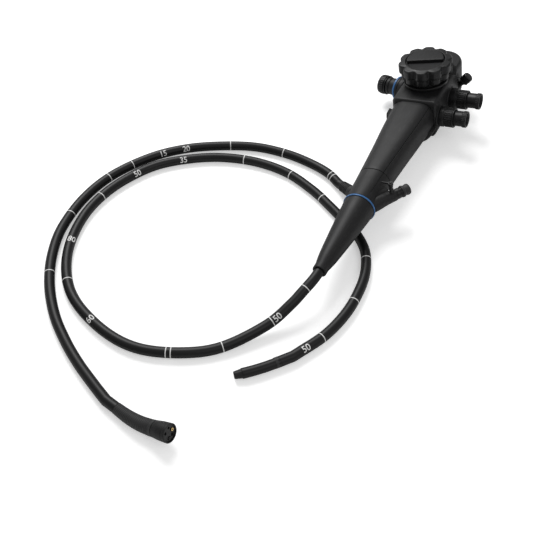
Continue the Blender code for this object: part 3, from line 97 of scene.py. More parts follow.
# Head housing.
HEAD_FRONT = 38
HEAD_STRAIGHT = 40
HEAD_HALF_WIDTH = 23.5
HEAD_TOP = 22
HEAD_BOTTOM = 20
HEAD_WALL = 3
HEAD_ROUND = 5
HEAD_CRISP = 2.6
HEAD_BELLY = 12
BELLY_INSET = 7.6
BELLY_LEAN = (1.0, 1.0, 0.4)
TOP_LEAN = (1.7, 0.55, 0.6)
VALVE_SEAT = 1.0

# Grip, branch housing, blue ring and boot, by their distance from the knob axis.
GRIP_START = HEAD_FRONT + CLEARANCE
GRIP_LENGTH = 104
PARTING = GRIP_START + GRIP_LENGTH
BRANCH_START = PARTING + CLEARANCE
BRANCH_LENGTH = 36
BRANCH_END = BRANCH_START + BRANCH_LENGTH
RING_START = BRANCH_END + CLEARANCE
RING_WIDTH = 2.4
RING_STAND = 0.5
RING_RADIUS = 15
BOOT_START = RING_START + RING_WIDTH + CLEARANCE
BOOT_LENGTH = BOOT_END - BOOT_START
BOOT_MOUTH_RADIUS = 6.4
GRIP_WALL = 2.5
GRIP_RIGHT_DRAWN = 1.2
GRIP_BELLY_DRAWN = 2.0
BELLY_SQUARENESS = 1.9
GRIP_MEAN_RADIUS = 21
BRANCH_MEAN_RADIUS = 16
SEAM_ANGLE = math.radians(45.0)
SEAM_SWING = math.radians(11.0)
SEAM_GAP = 0.7
SEAM_LIP = 0.15
SEAM_DEPTH = 0.6
SEAM_GROOVE = ((-1.0, 0.0), (-0.85, 0.5), (-0.6, 1.0), (0.0, 1.0), (0.6, 1.0), (0.85, 0.5), (1.0, 0.0))
SECTION_STATIONS = (
    (GRIP_START, (22.2, 20.8), 3.4),
    (GRIP_START + GRIP_LENGTH * 0.31, (21.0, 19.4), 3.1),
    (GRIP_START + GRIP_LENGTH * 0.62, (18.8, 17.7), 2.7),
    (PARTING, (16.6, 16.0), 2.3),
    (BRANCH_START + BRANCH_LENGTH * 0.30, (16.0, 15.7), 2.2),
    (BRANCH_END, (RING_RADIUS, RING_RADIUS), 2.0),
)

# Cords, from the boot's mouth on the table.
TUBE_RADIUS = 4.6
TUBE_SEAT = 20
TUBE_SIDES = 36
INSERTION_ROUTE = (
    (-1.0, -10.0, 24.0), (-3.6, -20.5, 21.5), (-8.5, -37.0, 16.5), (-19.0, -60.0, 9.2),
    (-42.0, -93.0, 5.0), (-68.0, -113.0, 4.9), (-102.0, -126.0, 4.9), (-136.0, -125.0, 4.9),
    (-174.0, -112.0, 4.9), (-200.0, -92.0, 4.9), (-220.0, -62.0, 4.9), (-231.0, -25.0, 4.9),
    (-231.0, 8.0, 4.9), (-223.0, 38.0, 4.9), (-208.0, 66.0, 4.9), (-184.0, 89.0, 4.9),
    (-156.0, 106.0, 4.9), (-122.0, 116.0, 4.9), (-88.0, 116.0, 4.9), (-56.0, 106.0, 4.9),
    (-32.0, 94.0, 4.9), (-11.0, 82.0, 4.9), (8.0, 70.0, 4.9), (22.0, 54.0, 4.9), (31.0, 31.0, 4.9),
    (34.0, 6.0, 4.9), (33.0, -18.0, 4.9), (27.0, -44.0, 4.9), (16.0, -68.0, 4.9),
)
TIP_START = Vector((5.5, -84.0, 4.9))
TIP_HEADING = math.radians(-127.5)
CORD_LEAD = 12
UMBILICAL_ROUTE = (
    (-52.0, 133.5, 6.0), (-74.0, 139.5, 4.9), (-101.0, 141.0, 4.9), (-133.0, 136.0, 4.9),
    (-164.0, 122.0, 4.9), (-195.0, 101.0, 4.9), (-220.0, 73.0, 4.9), (-239.0, 34.0, 4.9),
    (-245.0, -5.0, 4.9), (-240.0, -46.0, 4.9), (-227.0, -78.0, 4.9), (-208.0, -106.0, 4.9),
    (-184.0, -130.0, 5.0), (-160.0, -147.0, 4.9), (-137.0, -160.0, 4.9), (-113.0, -171.0, 5.2),
)
FLARE_ROUTE = (
    (-85.0, -180.0, 6.0), (-74.0, -182.0, 6.6), (-63.0, -183.0, 7.6),
)
FLARE_ROOT_RADIUS = 4.8
FLARE_RADIUS = 6.6
PLUG_START = Vector((-47.5, -182.5, 10.4))
PLUG_PITCH = math.radians(20.0)
SHELL_LENGTH = 14
SHELL_RADIUS = 7.6
SHELL_WALL = 1.0
SOCKET_CENTRE = Vector((-12.5, -157.0, -7.8))
SOCKET_HEADING = Vector((-0.845, 0.505, -0.120)).normalized()
SOCKET_REACH = 6.6
RELIEF_LENGTH = 18
RELIEF_ROOT_RADIUS = 6.2
RELIEF_TIP_RADIUS = 5.3

HINGE_COUNT = 6
LINK_PITCH = 4.8
COUPLING_LENGTH = 5.0
LINK_GAP = 2.5
TIP_CURL = math.radians(-1.6)
SKIN_RADIUS = 4.42
TIP_GLASS = ("tip_lens", "tip_light_left", "tip_light_right")

# Depth marks: rings by their distance along a cord; numbers by text, distance and turn in degrees.
INSERTION_RINGS = (40.0, 80.1, 126.1, 168.1, 172.1, 297.7, 406.4, 562.5, 614.6, 658.6, 744.7, 794.8, 842.8)
INSERTION_NUMBERS = (
    ("50", 74.5, 180.0), ("60", 246.2, -90.0), ("80", 344.3, -90.0), ("50", 450.4, 0.0),
    ("35", 500.5, 0.0), ("50", 860.8, 180.0),
)
UMBILICAL_RINGS = (16.0, 20.0, 77.9, 133.8, 237.6, 265.6, 323.5, 396.6)
UMBILICAL_NUMBERS = (("20", 179.7, 180.0), ("15", 203.7, 180.0))
NUMBER_HEIGHT = 6.0
NUMBER_WIDTH_SHARE = 0.92
INK_STAND = 0.05

# Valves, light post, instrument branch and rest.
SUCTION_AT = 6.0
AIR_AT = -27.2
VALVE_FACE = HEAD_HALF_WIDTH + VALVE_SEAT + CLEARANCE
VALVE_BORE = 8.35
VALVE_COLLAR_RADIUS = 9.8
KNURL_SIDES = 8
KNURL_STAND = 0.35
POST_TILT = math.radians(12.0)
POST_HEADING = Vector((-math.cos(POST_TILT), math.sin(POST_TILT), 0.0))
POST_ROOT = Vector((-HEAD_HALF_WIDTH, 3.0, 6.0))
POST_BOSS = 5.0
POST_BOSS_SUNK = 0.6
POST_FLANGE = 2.4
POST_FLANGE_RADIUS = 12.0
POST_RING_RADIUS = 12.2
POST_RING_WIDTH = 2.0
POST_RADIUS = 8.8
POST_LENGTH = 11.2
POST_CAP_RADIUS = 10.0
POST_CAP_LENGTH = 9.0
NECK_ANGLE = math.radians(37.0)
NECK_AXIS = Vector((math.sin(NECK_ANGLE), math.cos(NECK_ANGLE), 0.0))
NECK_END = Vector((24.9, 24.0 - BRANCH_END, 0.0))
NECK_LENGTH = 30.0
NECK_RADIUS = 5.6
NOZZLE_ROOT = NECK_END - NECK_AXIS * 3.5 + Vector((0, 0, NECK_RADIUS - 0.8))
LEVER_AT = NOZZLE_ROOT + Vector((0, 0, 8.85))
PORT_LENGTH = 5.8
WEB_ROOT = Vector((7.0, 14.0 - BRANCH_END, 0.0))
WEB_HEADING = Vector((0.69, 0.72, 0.0)).normalized()
VENT_ROOT = Vector((19.4, 33.6, -6.4))
VENT_HEADING = Vector((0.60, 0.10, 0.65)).normalized()
REST_START, REST_END = 39.2, 49.2
REST_THICKNESS = 3.6
REST_WRAP = math.radians(15.0)

# Knobs, from the deck up.
KNOB_LOBES = 10
KNOB_STEPS = 240
KNOB_SCALLOP = 3.6
KNOB_GAP = 0.4
LOBE_TURN = math.radians(27.7)
LOBE_POWER = 2.6
DECK = HEAD_TOP + CLEARANCE
COLLAR_TOP = DECK + 3.0
COLLAR_RADIUS = 22.5
BRAKE_AT = COLLAR_TOP + KNOB_GAP
UD_KNOB_RADIUS = 24.5
UD_AT = BRAKE_AT + 2.4 + KNOB_GAP
UD_TOP = UD_AT + 7.0
LR_KNOB_RADIUS = 26.8
LR_AT = UD_TOP + KNOB_GAP
LR_TOP = LR_AT + 9.8
DISC_AT = LR_TOP - 4.0 + CLEARANCE
DISC_RADIUS = 19.0
DISC_TURN = math.radians(15.0)
DISC_LIP = 2.6
DISC_LOW = 2.6
DISC_HIGH = 5.2

# The photograph's view and light, in metres.
CAMERA_LENS = 50.66
CAMERA_SENSOR = 36.0
CAMERA_TURN = math.radians(27.7)
CAMERA_ELEVATION = math.radians(50.0)
CAMERA_DISTANCE = 0.672
CAMERA_TARGET = Vector((-0.0519, 0.0030, 0.0))
LAMP_CENTRE = Vector((-0.05, 0.02, 0.0))
LAMPS = (("key_light", (-0.75, 0.70, 1.15), 0.8, 18.0), ("fill_light", (0.85, -0.35, 1.10), 0.8, 3.0))
SKY_STRENGTH = 0.36
FLOOR_GLOW = 0.42
FLOOR_REACH = 6.0


def colour_property(name, default):
    about = f"{name} of the endoscope"
    return FloatVectorProperty(
        name=name, description=about, subtype="COLOR", size=3, min=0, max=1, default=default
    )


class EndoscopeFinishes(bpy.types.PropertyGroup):
    """Colours that a user would change."""

    casing: colour_property("Casing colour", (0.0085, 0.0085, 0.0090))
    knob: colour_property("Knob colour", (0.0070, 0.0070, 0.0075))
    rubber: colour_property("Rubber colour", (0.0080, 0.0080, 0.0085))
    sheath: colour_property("Sheath colour", (0.0045, 0.0045, 0.0050))
    ring: colour_property("Marking ring colour", (0.055, 0.170, 0.400))
    ink: colour_property("Depth mark colour", (0.800, 0.800, 0.790))
    steel: colour_property("Steel colour", (0.560, 0.570, 0.580))
    gold: colour_property("Gold plating colour", (0.780, 0.570, 0.250))
    board: colour_property("Circuit board colour", (0.030, 0.160, 0.070))
    glass: colour_property("Lens colour", (0.040, 0.055, 0.070))
    floor: colour_property("Floor colour", (0.900, 0.900, 0.900))


class EndoscopeSizes(bpy.types.PropertyGroup):
    """Sizes of the details that the frame leaves open."""

    mark_width: FloatProperty(
        name="Mark width", description="Width of a depth mark", default=0.8 * MM, min=0.1 * MM, unit="LENGTH"
    )
    edge: FloatProperty(
        name="Moulded edge", description="Rounding of moulded edges", default=0.5 * MM, min=0, unit="LENGTH"
    )
    knurl_count: IntProperty(
        name="Knurl ridges", description="Ridges round a valve's collar", default=30, min=8
    )


def link(obj):
    bpy.context.scene.collection.objects.link(obj)
    return obj


class Value:
    """A socket in an expression: + - and * on it add Math nodes."""

    def __init__(self, shader, socket):
        self.shader = shader
        self.socket = socket

    def maths(self, operation, *values):
        return self.shader.node("ShaderNodeMath", {"operation": operation}, *values)

    def __add__(self, other):
        return self.maths("ADD", self, other)

    __radd__ = __add__

    def __sub__(self, other):
        return self.maths("SUBTRACT", self, other)

    def __rsub__(self, other):
        return self.maths("SUBTRACT", other, self)

    def __mul__(self, other):
        return self.maths("MULTIPLY", self, other)

    __rmul__ = __mul__


class Shader:
    """Builds one material's nodes round its Principled shader."""

    def __init__(self, name, colour, roughness, **steady):
        self.material = bpy.data.materials.new(name)
        self.material.use_nodes = True
        self.tree = self.material.node_tree
        self.surface = self.tree.nodes["Principled BSDF"]
        self.set("Base Color", (*colour, 1.0))
        self.set("Roughness", roughness)
        for socket, value in steady.items():
            self.set(socket.replace("_", " "), value)

    def set(self, socket, value):
        self.connect(self.surface.inputs[socket], value)

    def connect(self, socket, value):
        if isinstance(value, Value):
            self.tree.links.new(value.socket, socket)
        else:
            socket.default_value = value

    def node(self, kind, settings=None, *values, output=0, **named):
        """A node with its settings, then the values or links of its sockets, by place or by name."""
        made = self.tree.nodes.new(kind)
        for key, value in (settings or {}).items():
            setattr(made, key, value)
        for socket, value in zip(made.inputs, values):
            self.connect(socket, value)
        for key, value in named.items():
            self.connect(made.inputs[key.replace("_", " ")], value)
        return Value(self, made.outputs[output])

    def place(self, scale=(1.0, 1.0, 1.0), turn=(0.0, 0.0, 0.0)):
        """Object coordinates, stretched and turned."""
        at = self.node("ShaderNodeTexCoord", output="Object")
        return self.node("ShaderNodeMapping", None, Vector=at, Scale=scale, Rotation=turn)

    def noise(self, at, scale, detail=3.0, roughness=0.5):
        return self.node(
            "ShaderNodeTexNoise", None, Vector=at, Scale=scale, Detail=detail, Roughness=roughness
        )

    def blend(self, mask, dark, light):
        """A colour between two, by a mask."""
        return self.node(
            "ShaderNodeMix", {"data_type": "RGBA"}, output="Result", Factor=mask, A=dark, B=light
        )

    def bump(self, height, distance, strength=1.0):
        """A bump whose height is given in millimetres."""
        return self.node(
            "ShaderNodeBump", output="Normal", Height=height, Distance=distance * MM, Strength=strength
        )

    def finish(self, mask, colour, dark, light, roughness, normal=None):
        """Sets what changes over the surface: its colour by a mask between two shades, gloss and relief."""
        dark, light = ((*[min(c * factor, 1.0) for c in colour], 1.0) for factor in (dark, light))
        self.set("Base Color", self.blend(mask, dark, light))
        self.set("Roughness", roughness)
        if normal is not None:
            self.set("Normal", normal)
        return self.material


def moulded(name, colour, roughness, grain=5200.0, depth=0.02, worn=1.7):
    """Moulded plastic: fine spark-eroded grain, slow changes of gloss and faint handling marks."""
    shader = Shader(name, colour, roughness, Specular_IOR_Level=0.30)
    at = shader.place()
    slow = shader.noise(at, 60.0, 2.0)
    fine = shader.noise(at, grain, 2.0, 0.6)
    scuffs = shader.noise(shader.place((1.0, 0.12, 1.0)), 900.0, 4.0, 0.7)
    mask = (scuffs - 0.56).maths("MULTIPLY", scuffs - 0.56, 9.0)
    soft = shader.node("ShaderNodeClamp", None, mask + slow * 0.5)
    gloss = roughness - 0.06 + slow * 0.12 + fine * 0.05
    return shader.finish(soft, colour, 0.86, worn, gloss, shader.bump(fine, depth, 0.6))


def sheath_finish(name, colour, roughness):
    """Smooth polymer sheath: its UV runs round and along the tube, in metres along."""
    shader = Shader(name, colour, roughness, Specular_IOR_Level=0.30)
    at = shader.node("ShaderNodeUVMap", {"uv_map": "along"})
    along = shader.node("ShaderNodeMapping", None, Vector=at, Scale=(40.0, 900.0, 1.0))
    braid = shader.noise(along, 1.0, 2.0)
    stretched = shader.node("ShaderNodeMapping", None, Vector=at, Scale=(60.0, 25.0, 1.0))
    streaks = shader.noise(stretched, 1.0, 3.0)
    slow = shader.noise(shader.place(), 45.0, 2.0)
    dust = shader.noise(shader.place(), 1500.0, 2.0, 0.7)
    specks = (dust - 0.72) * 2.0
    mask = shader.node("ShaderNodeClamp", None, specks + slow * 0.35)
    gloss = roughness - 0.05 + streaks * 0.06 + slow * 0.05
    return shader.finish(mask, colour, 0.9, 1.7, gloss, shader.bump(braid * 0.3 + streaks * 0.7, 0.008, 0.35))


def rubber_finish(name, colour, roughness=0.62):
    shader = Shader(name, colour, roughness, Sheen_Weight=0.06, Sheen_Roughness=0.5)
    at = shader.place()
    slow = shader.noise(at, 80.0, 3.0)
    fine = shader.noise(at, 3800.0, 3.0, 0.65)
    return shader.finish(slow, colour, 0.8, 1.6, roughness - 0.05 + fine * 0.1, shader.bump(fine, 0.03, 0.7))


def metal_finish(name, colour, roughness=0.28, brush=(1.0, 1.0, 30.0)):
    """Turned or brushed metal with fine lines along the long side of its brush."""
    shader = Shader(name, colour, roughness, Metallic=1.0)
    lines = shader.noise(shader.place(brush), 700.0, 4.0, 0.6)
    slow = shader.noise(shader.place(), 120.0, 2.0)
    gloss = roughness - 0.08 + lines * 0.16
    return shader.finish(slow, colour, 0.85, 1.1, gloss, shader.bump(lines, 0.01, 0.35))


def glass_finish(name, colour):
    shader = Shader(name, colour, 0.06, Coat_Weight=1.0, Coat_Roughness=0.03)
    slow = shader.noise(shader.place(), 1500.0, 2.0)
    return shader.finish(slow, colour, 0.7, 1.6, 0.04 + slow * 0.06)


def ink_finish(name, colour):
    """Printed ink: slightly broken where the print is thin."""
    shader = Shader(name, colour, 0.5)
    worn = shader.noise(shader.place(), 1700.0, 3.0, 0.7)
    mask = shader.node("ShaderNodeClamp", None, (worn - 0.40) * 6.0)
    return shader.finish(mask, colour, 0.72, 1.05, 0.42 + worn * 0.16)


def board_finish(name, colour):
    shader = Shader(name, colour, 0.45)
    at = shader.place()
    tracks = shader.node("ShaderNodeTexVoronoi", {"distance": "CHEBYCHEV"}, Vector=at, Scale=420.0)
    return shader.finish(tracks, colour, 0.7, 1.9, 0.38 + tracks * 0.2, shader.bump(tracks, 0.03, 0.4))


def braid_finish(name, colour):
    """Woven sleeve of the light bundle and the suction pipe."""
    shader = Shader(name, colour, 0.5)
    at = shader.place((1.0, 1.0, 1.0), (0.0, 0.0, math.radians(45)))
    weave = shader.node("ShaderNodeTexChecker", None, Vector=at, Scale=1600.0, output=1)
    return shader.finish(weave, colour, 0.6, 1.1, 0.42 + weave * 0.15, shader.bump(weave, 0.05, 0.6))


FINISHES = {}


def make_finishes():
    looks = bpy.context.scene.endoscope_finishes
    FINISHES.update(
        casing=moulded("casing_satin", looks.casing, 0.50),
        knob=moulded("knob_satin", looks.knob, 0.40, 3600.0, 0.03, 1.9),
        rubber=rubber_finish("soft_rubber", looks.rubber),
        tube=sheath_finish("tube_sheath", looks.sheath, 0.46),
        blue=moulded("blue_ring", looks.ring, 0.34, 5200.0, 0.01, 1.15),
        steel=metal_finish("brushed_steel", looks.steel),
        brass=metal_finish("gold_plate", looks.gold, 0.24),
        board=board_finish("circuit_board", looks.board),
        glass=glass_finish("lens_glass", looks.glass),
        sleeve=braid_finish("braided_sleeve", (0.60, 0.62, 0.64)),
        ink=ink_finish("mark_ink", looks.ink),
    )


def spread(start, end, count):
    """Evenly spaced values from a start to an end, with a count of steps between them."""
    return [start + (end - start) * i / count for i in range(count + 1)]


def bounded(value):
    return min(max(value, 0.0), 1.0)


def circle(radius, height, steps, turn=0.0):
    """Points of a level circle about Z."""
    angles = spread(turn, turn + 2 * math.pi, steps)[:-1]
    return [Vector((radius * math.cos(a), radius * math.sin(a), height)) for a in angles]


def frame_at(place, side, along):
    """A frame at a place, its X to the side and its Z along."""
    return Matrix.Translation(place) @ Matrix((side, along.cross(side), along)).transposed().to_4x4()


def soften(profile, radius, closed=False, steps=4):
    """The same profile with each corner rounded, as far as its sides allow."""
    points = [Vector(p) for p in profile]
    last = len(points) - 1
    rounded = []
    for i, corner in enumerate(points):
        if not closed and i in (0, last):
            rounded.append(corner)
            continue
        before, after = points[i - 1], points[(i + 1) % len(points)]
        back, ahead = before - corner, after - corner
        reach = min(radius, 0.45 * back.length, 0.45 * ahead.length)
        start, end = corner + back.normalized() * reach, corner + ahead.normalized() * reach
        rounded += [start.lerp(corner, t).lerp(corner.lerp(end, t), t) for t in spread(0.0, 1.0, steps)]
    return [tuple(p) for p in rounded]


def bridge(bm, a, b, closed=True):
    """Faces between two rings of vertices; a ring of one vertex is a pole."""
    count = max(len(a), len(b))
    for i in range(count if closed else count - 1):
        j = (i + 1) % count
        corners = [a[i % len(a)], a[j % len(a)], b[j % len(b)], b[i % len(b)]]
        unique = list(dict.fromkeys(corners))
        if len(unique) > 2:
            bm.faces.new(unique)


def revolve(bm, profile, matrix=Matrix(), steps=72, closed=False):
    """Adds a turned surface about Z from (radius, height) pairs."""
    rings = []
    for radius, height in profile:
        ring = circle(radius, height, steps) if radius >= SAME_SPOT else [Vector((0, 0, height))]
        rings.append([bm.verts.new(matrix @ p) for p in ring])
    for a, b in zip(rings, rings[1:]):
        bridge(bm, a, b)
    if closed:
        bridge(bm, rings[-1], rings[0])


def aimed(location, heading, spin=0.0):
    turn = Vector(heading).normalized().to_track_quat("Z", "Y").to_matrix()
    return Matrix.Translation(location) @ (turn @ Matrix.Rotation(spin, 3, "Z")).to_4x4()


def piece(name, bm, finish, body, replaces=(), matrix=BODY, smooth=math.radians(32)):
    """Finishes a mesh as one piece of the part: outward faces, its place in its mesh, its finish and body."""
    bmesh.ops.remove_doubles(bm, verts=bm.verts, dist=SAME_SPOT)
    bmesh.ops.recalc_face_normals(bm, faces=bm.faces[:])
    mesh = bpy.data.meshes.new(name)
    bm.to_mesh(mesh)
    bm.free()
    mesh.transform(METRES @ matrix)
    mesh.shade_smooth()
    mesh.set_sharp_from_angle(angle=smooth)
    obj = link(bpy.data.objects.new(name, mesh))
    return dress(obj, finish, body, replaces)


def dress(obj, finish, body, replaces=()):
    obj.data.materials.clear()
    obj.data.materials.append(FINISHES[finish])
    if body:
        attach(obj, body)
    if replaces:
        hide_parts(*replaces)
    return obj


def turned_piece(
    name, profile, finish, body, location, heading, replaces=(), edge=None, steps=72, closed=False
):
    """A turned piece of the control body with its corners rounded."""
    bm = bmesh.new()
    edge = bpy.context.scene.endoscope_sizes.edge / MM if edge is None else edge
    revolve(bm, soften(profile, edge, closed), aimed(location, heading), steps, closed)
    return piece(name, bm, finish, body, replaces)


def smooth_points(route, spacing):
    """Evenly spaced points on a smooth curve through a route's own points."""
    points = [Vector(p) for p in route]
    padded = [points[0] * 2 - points[1], *points, points[-1] * 2 - points[-2]]
    fine = []
    for p0, p1, p2, p3 in zip(padded, padded[1:], padded[2:], padded[3:]):
        for i in range(24):
            t = i / 24
            pull = (2 * p0 - 5 * p1 + 4 * p2 - p3) * t**2 + (3 * p1 - p0 - 3 * p2 + p3) * t**3
            fine.append(0.5 * (2 * p1 + (p2 - p0) * t + pull))
    fine.append(points[-1])
    lengths = running_lengths(fine)
    count = max(round(lengths[-1] / spacing), 1)
    return [point_at(fine, lengths, lengths[-1] * i / count) for i in range(count + 1)]


def running_lengths(points):
    lengths = [0.0]
    for a, b in zip(points, points[1:]):
        lengths.append(lengths[-1] + (b - a).length)
    return lengths


def point_at(points, lengths, goal):
    k = 0
    while k < len(lengths) - 2 and lengths[k + 1] < goal:
        k += 1
    t = (goal - lengths[k]) / (lengths[k + 1] - lengths[k])
    return points[k].lerp(points[k + 1], t)


def line_frames(points):
    """A frame at each point of a line: Z along it, X turned as little as possible from point to point."""
    frames = []
    side = None
    for i, point in enumerate(points):
        before, after = points[max(i - 1, 0)], points[min(i + 1, len(points) - 1)]
        along = (after - before).normalized()
        if side is None:
            side = Vector((0, 0, 1)).cross(along)
        side = (side - along * side.dot(along)).normalized()
        frames.append(frame_at(point, side, along))
    return frames


def sweep(bm, points, radii, sides=TUBE_SIDES):
    """Adds a tube along points; its UV map runs round it and, in metres, along it."""
    uv = bm.loops.layers.uv.verify()
    frames = line_frames(points)
    lengths = running_lengths(points)
    rings = []
    for matrix, radius in zip(frames, radii):
        rings.append([bm.verts.new(matrix @ p) for p in circle(radius, 0.0, sides)])
    for k, (a, b) in enumerate(zip(rings, rings[1:])):
        for i in range(sides):
            j = (i + 1) % sides
            face = bm.faces.new((a[i], a[j], b[j], b[i]))
            spots = ((i, k), (i + 1, k), (i + 1, k + 1), (i, k + 1))
            for loop, (around, station) in zip(face.loops, spots):
                loop[uv].uv = (around / sides, lengths[station] * MM)
    bm.faces.new(rings[0])
    bm.faces.new(list(reversed(rings[-1])))


def insertion_line(spacing=2.0):
    start = Vector((0.0, TUBE_SEAT, BODY_CENTRE.z))
    lead = TIP_START - Vector((math.cos(TIP_HEADING), math.sin(TIP_HEADING), 0.0)) * CORD_LEAD
    route = [Vector((0.0, 0.0, BODY_CENTRE.z)), *[Vector(p) for p in INSERTION_ROUTE], lead]
    local = [start, *smooth_points(route, spacing), TIP_START]
    return [FLOOR @ p for p in local]


def plug_frame():
    """Frame of the connector: Z runs out of its face."""
    along = Vector((math.cos(PLUG_PITCH), 0.0, math.sin(PLUG_PITCH)))
    side = Vector((0, 0, 1)).cross(along).normalized()
    return FLOOR @ frame_at(PLUG_START, side, along)


def flare_line(spacing=1.2):
    plug = plug_frame()
    before = plug @ Vector((0, 0, -CORD_LEAD / 2))
    route = [*[FLOOR @ Vector(p) for p in FLARE_ROUTE], before, plug @ Vector((0, 0, -CLEARANCE))]
    return smooth_points(route, spacing)


def umbilical_line(spacing=2.0):
    reach = SOCKET_REACH + RELIEF_LENGTH + CLEARANCE
    start = BODY @ (SOCKET_CENTRE + SOCKET_HEADING * reach)
    heading = BODY.to_3x3() @ SOCKET_HEADING
    flare = flare_line()
    along = (flare[1] - flare[0]).normalized()
    middle = [FLOOR @ Vector(p) for p in UMBILICAL_ROUTE]
    route = [start + heading * CORD_LEAD / 2, *middle, flare[0] - along * CORD_LEAD]
    return [start, *smooth_points(route, spacing), flare[0] - along * CLEARANCE]


def cord_piece(name, points, node, exit_point):
    """A cord's sheath, swept along its path."""
    bm = bmesh.new()
    sweep(bm, points, [TUBE_RADIUS] * len(points))
    obj = piece(name, bm, "tube", ROOT, (node,), Matrix())
    obj.data.uv_layers[0].name = "along"
    tuple(exit_point * MM)
    running_lengths(points)[-1] * MM
    [tuple(p * MM) for p in points]


class ENDOSCOPE_OT_stage(bpy.types.Operator):
    """Sets the pale floor, the soft studio light and the camera"""

    bl_idname = "endoscope.stage"
    bl_label = "Stage"

    def execute(self, context):
        scene = context.scene
        scene.view_settings.view_transform = "Standard"
        looks = scene.endoscope_finishes
        bm = bmesh.new()
        bmesh.ops.create_grid(bm, x_segments=1, y_segments=1, size=FLOOR_REACH)
        mesh = bpy.data.meshes.new("table_floor")
        bm.to_mesh(mesh)
        bm.free()
        floor = link(bpy.data.objects.new("table_floor", mesh))
        mesh.materials.append(self.floor_finish(looks.floor))

        world = bpy.data.worlds.new("studio")
        world.use_nodes = True
        scene.world = world
        sky = world.node_tree.nodes["Background"]
        sky.inputs["Color"].default_value = (1, 1, 1, 1)
        sky.inputs["Strength"].default_value = SKY_STRENGTH
        for lamp in LAMPS:
            self.lamp(*lamp)
        self.camera(scene)
        return {"FINISHED"}

    def floor_finish(self, colour):
        """White to the eye, but it keeps the shadows that fall on it."""
        shader = Shader("pale_floor", colour, 0.9)
        surface = Value(shader, shader.surface.outputs[0])
        glow = shader.node("ShaderNodeEmission", Strength=FLOOR_GLOW)
        both = shader.node("ShaderNodeAddShader", None, surface, glow)
        seen = shader.node("ShaderNodeLightPath", output="Is Camera Ray")
        mixed = shader.node("ShaderNodeMixShader", None, seen, surface, both)
        shader.connect(shader.tree.nodes["Material Output"].inputs["Surface"], mixed)
        return shader.material

    def lamp(self, name, offset, size, power):
        data = bpy.data.lights.new(name, "AREA")
        data.shape = "DISK"
        data.size = size
        data.energy = power
        lamp = link(bpy.data.objects.new(name, data))
        lamp.location = MOUTH * MM + LAMP_CENTRE + Vector(offset)
        lamp.rotation_euler = (-Vector(offset)).to_track_quat("-Z", "Y").to_euler()

    def camera(self, scene):
        """The photograph's view: 50 degrees above the table, turned by 27.7 degrees."""
        data = bpy.data.cameras.new("camera")
        data.sensor_width = CAMERA_SENSOR
        data.lens = CAMERA_LENS
        camera = link(bpy.data.objects.new("camera", data))
        level = Vector((math.sin(CAMERA_TURN), -math.cos(CAMERA_TURN), 0.0))
        away = level * math.cos(CAMERA_ELEVATION) + Vector((0, 0, math.sin(CAMERA_ELEVATION)))
        camera.location = MOUTH * MM + CAMERA_TARGET + away * CAMERA_DISTANCE
        camera.rotation_euler = (-away).to_track_quat("-Z", "Y").to_euler()
        scene.camera = camera


def tip_frames():
    """Frames of the bending section's hinges, from the tube's end: Z runs along the tube."""
    frames = []
    place, heading, step = TIP_START.copy(), TIP_HEADING, COUPLING_LENGTH
    for _ in range(HINGE_COUNT + 1):
        along = Vector((math.cos(heading), math.sin(heading), 0.0))
        side = Vector((-along.y, along.x, 0.0))
        frames.append(FLOOR @ frame_at(place, side, along))
        place = place + along * step
        heading += TIP_CURL
        step = LINK_PITCH
    return frames


def dome(radius, height, start, end, steps=10):
    """Points of a half-round profile about a height on the axis, between two angles from the axis."""
    angles = spread(math.radians(start), math.radians(end), steps)
    return [(max(radius * math.sin(a), 0.0), height + radius * math.cos(a)) for a in angles]


def bending_skins():
    """The bending section's rubber skin: a sleeve with round ends for each link, so that it bends."""
    frames = tip_frames()
    start, reach = dome(SKIN_RADIUS, 0.0, 180, 90), dome(SKIN_RADIUS, COUPLING_LENGTH, 90, 0)
    collar = [(0.0, 0.2), (3.0, 0.2), (TUBE_RADIUS, 0.2), (TUBE_RADIUS, 1.2), (SKIN_RADIUS, 2.8)]
    made = [skin("tube_end_sleeve", [*collar, *reach], frames[0], ROOT)]
    for i in range(1, HINGE_COUNT):
        link_profile = [*start, *dome(SKIN_RADIUS, LINK_PITCH, 90, 0)]
        made.append(skin(f"bending_skin_{i}", link_profile, frames[i], f"link_{i}"))
    end = LINK_GAP / 2 + 1.3
    close = [(SKIN_RADIUS, end), (SKIN_RADIUS - 0.2, end + 0.6), (0.0, end + 0.6)]
    made.append(skin("tip_skin", [*start, *close], frames[HINGE_COUNT], "tip"))
    return made


def skin(name, profile, matrix, body):
    bm = bmesh.new()
    revolve(bm, soften(profile, 0.2), matrix, 40)
    return piece(name, bm, "tube", body, (), Matrix())


def connector_flare():
    """The connector's bend relief: fine ribs on a flaring body."""
    points = flare_line(0.25)
    lengths = running_lengths(points)
    pitch, depth = 1.5, 0.25
    radii = []
    for reached in lengths:
        t = reached / lengths[-1]
        ribbed = 0.5 - 0.5 * math.cos(2 * math.pi * reached / pitch)
        fade = min(1.0, (lengths[-1] - reached) / 3)
        radii.append(FLARE_ROOT_RADIUS + (FLARE_RADIUS - FLARE_ROOT_RADIUS) * t - depth * ribbed**3 * fade)
    bm = bmesh.new()
    sweep(bm, points, radii, 40)
    return piece("ribbed_flare", bm, "rubber", ROOT, ("connector_flare",), Matrix())


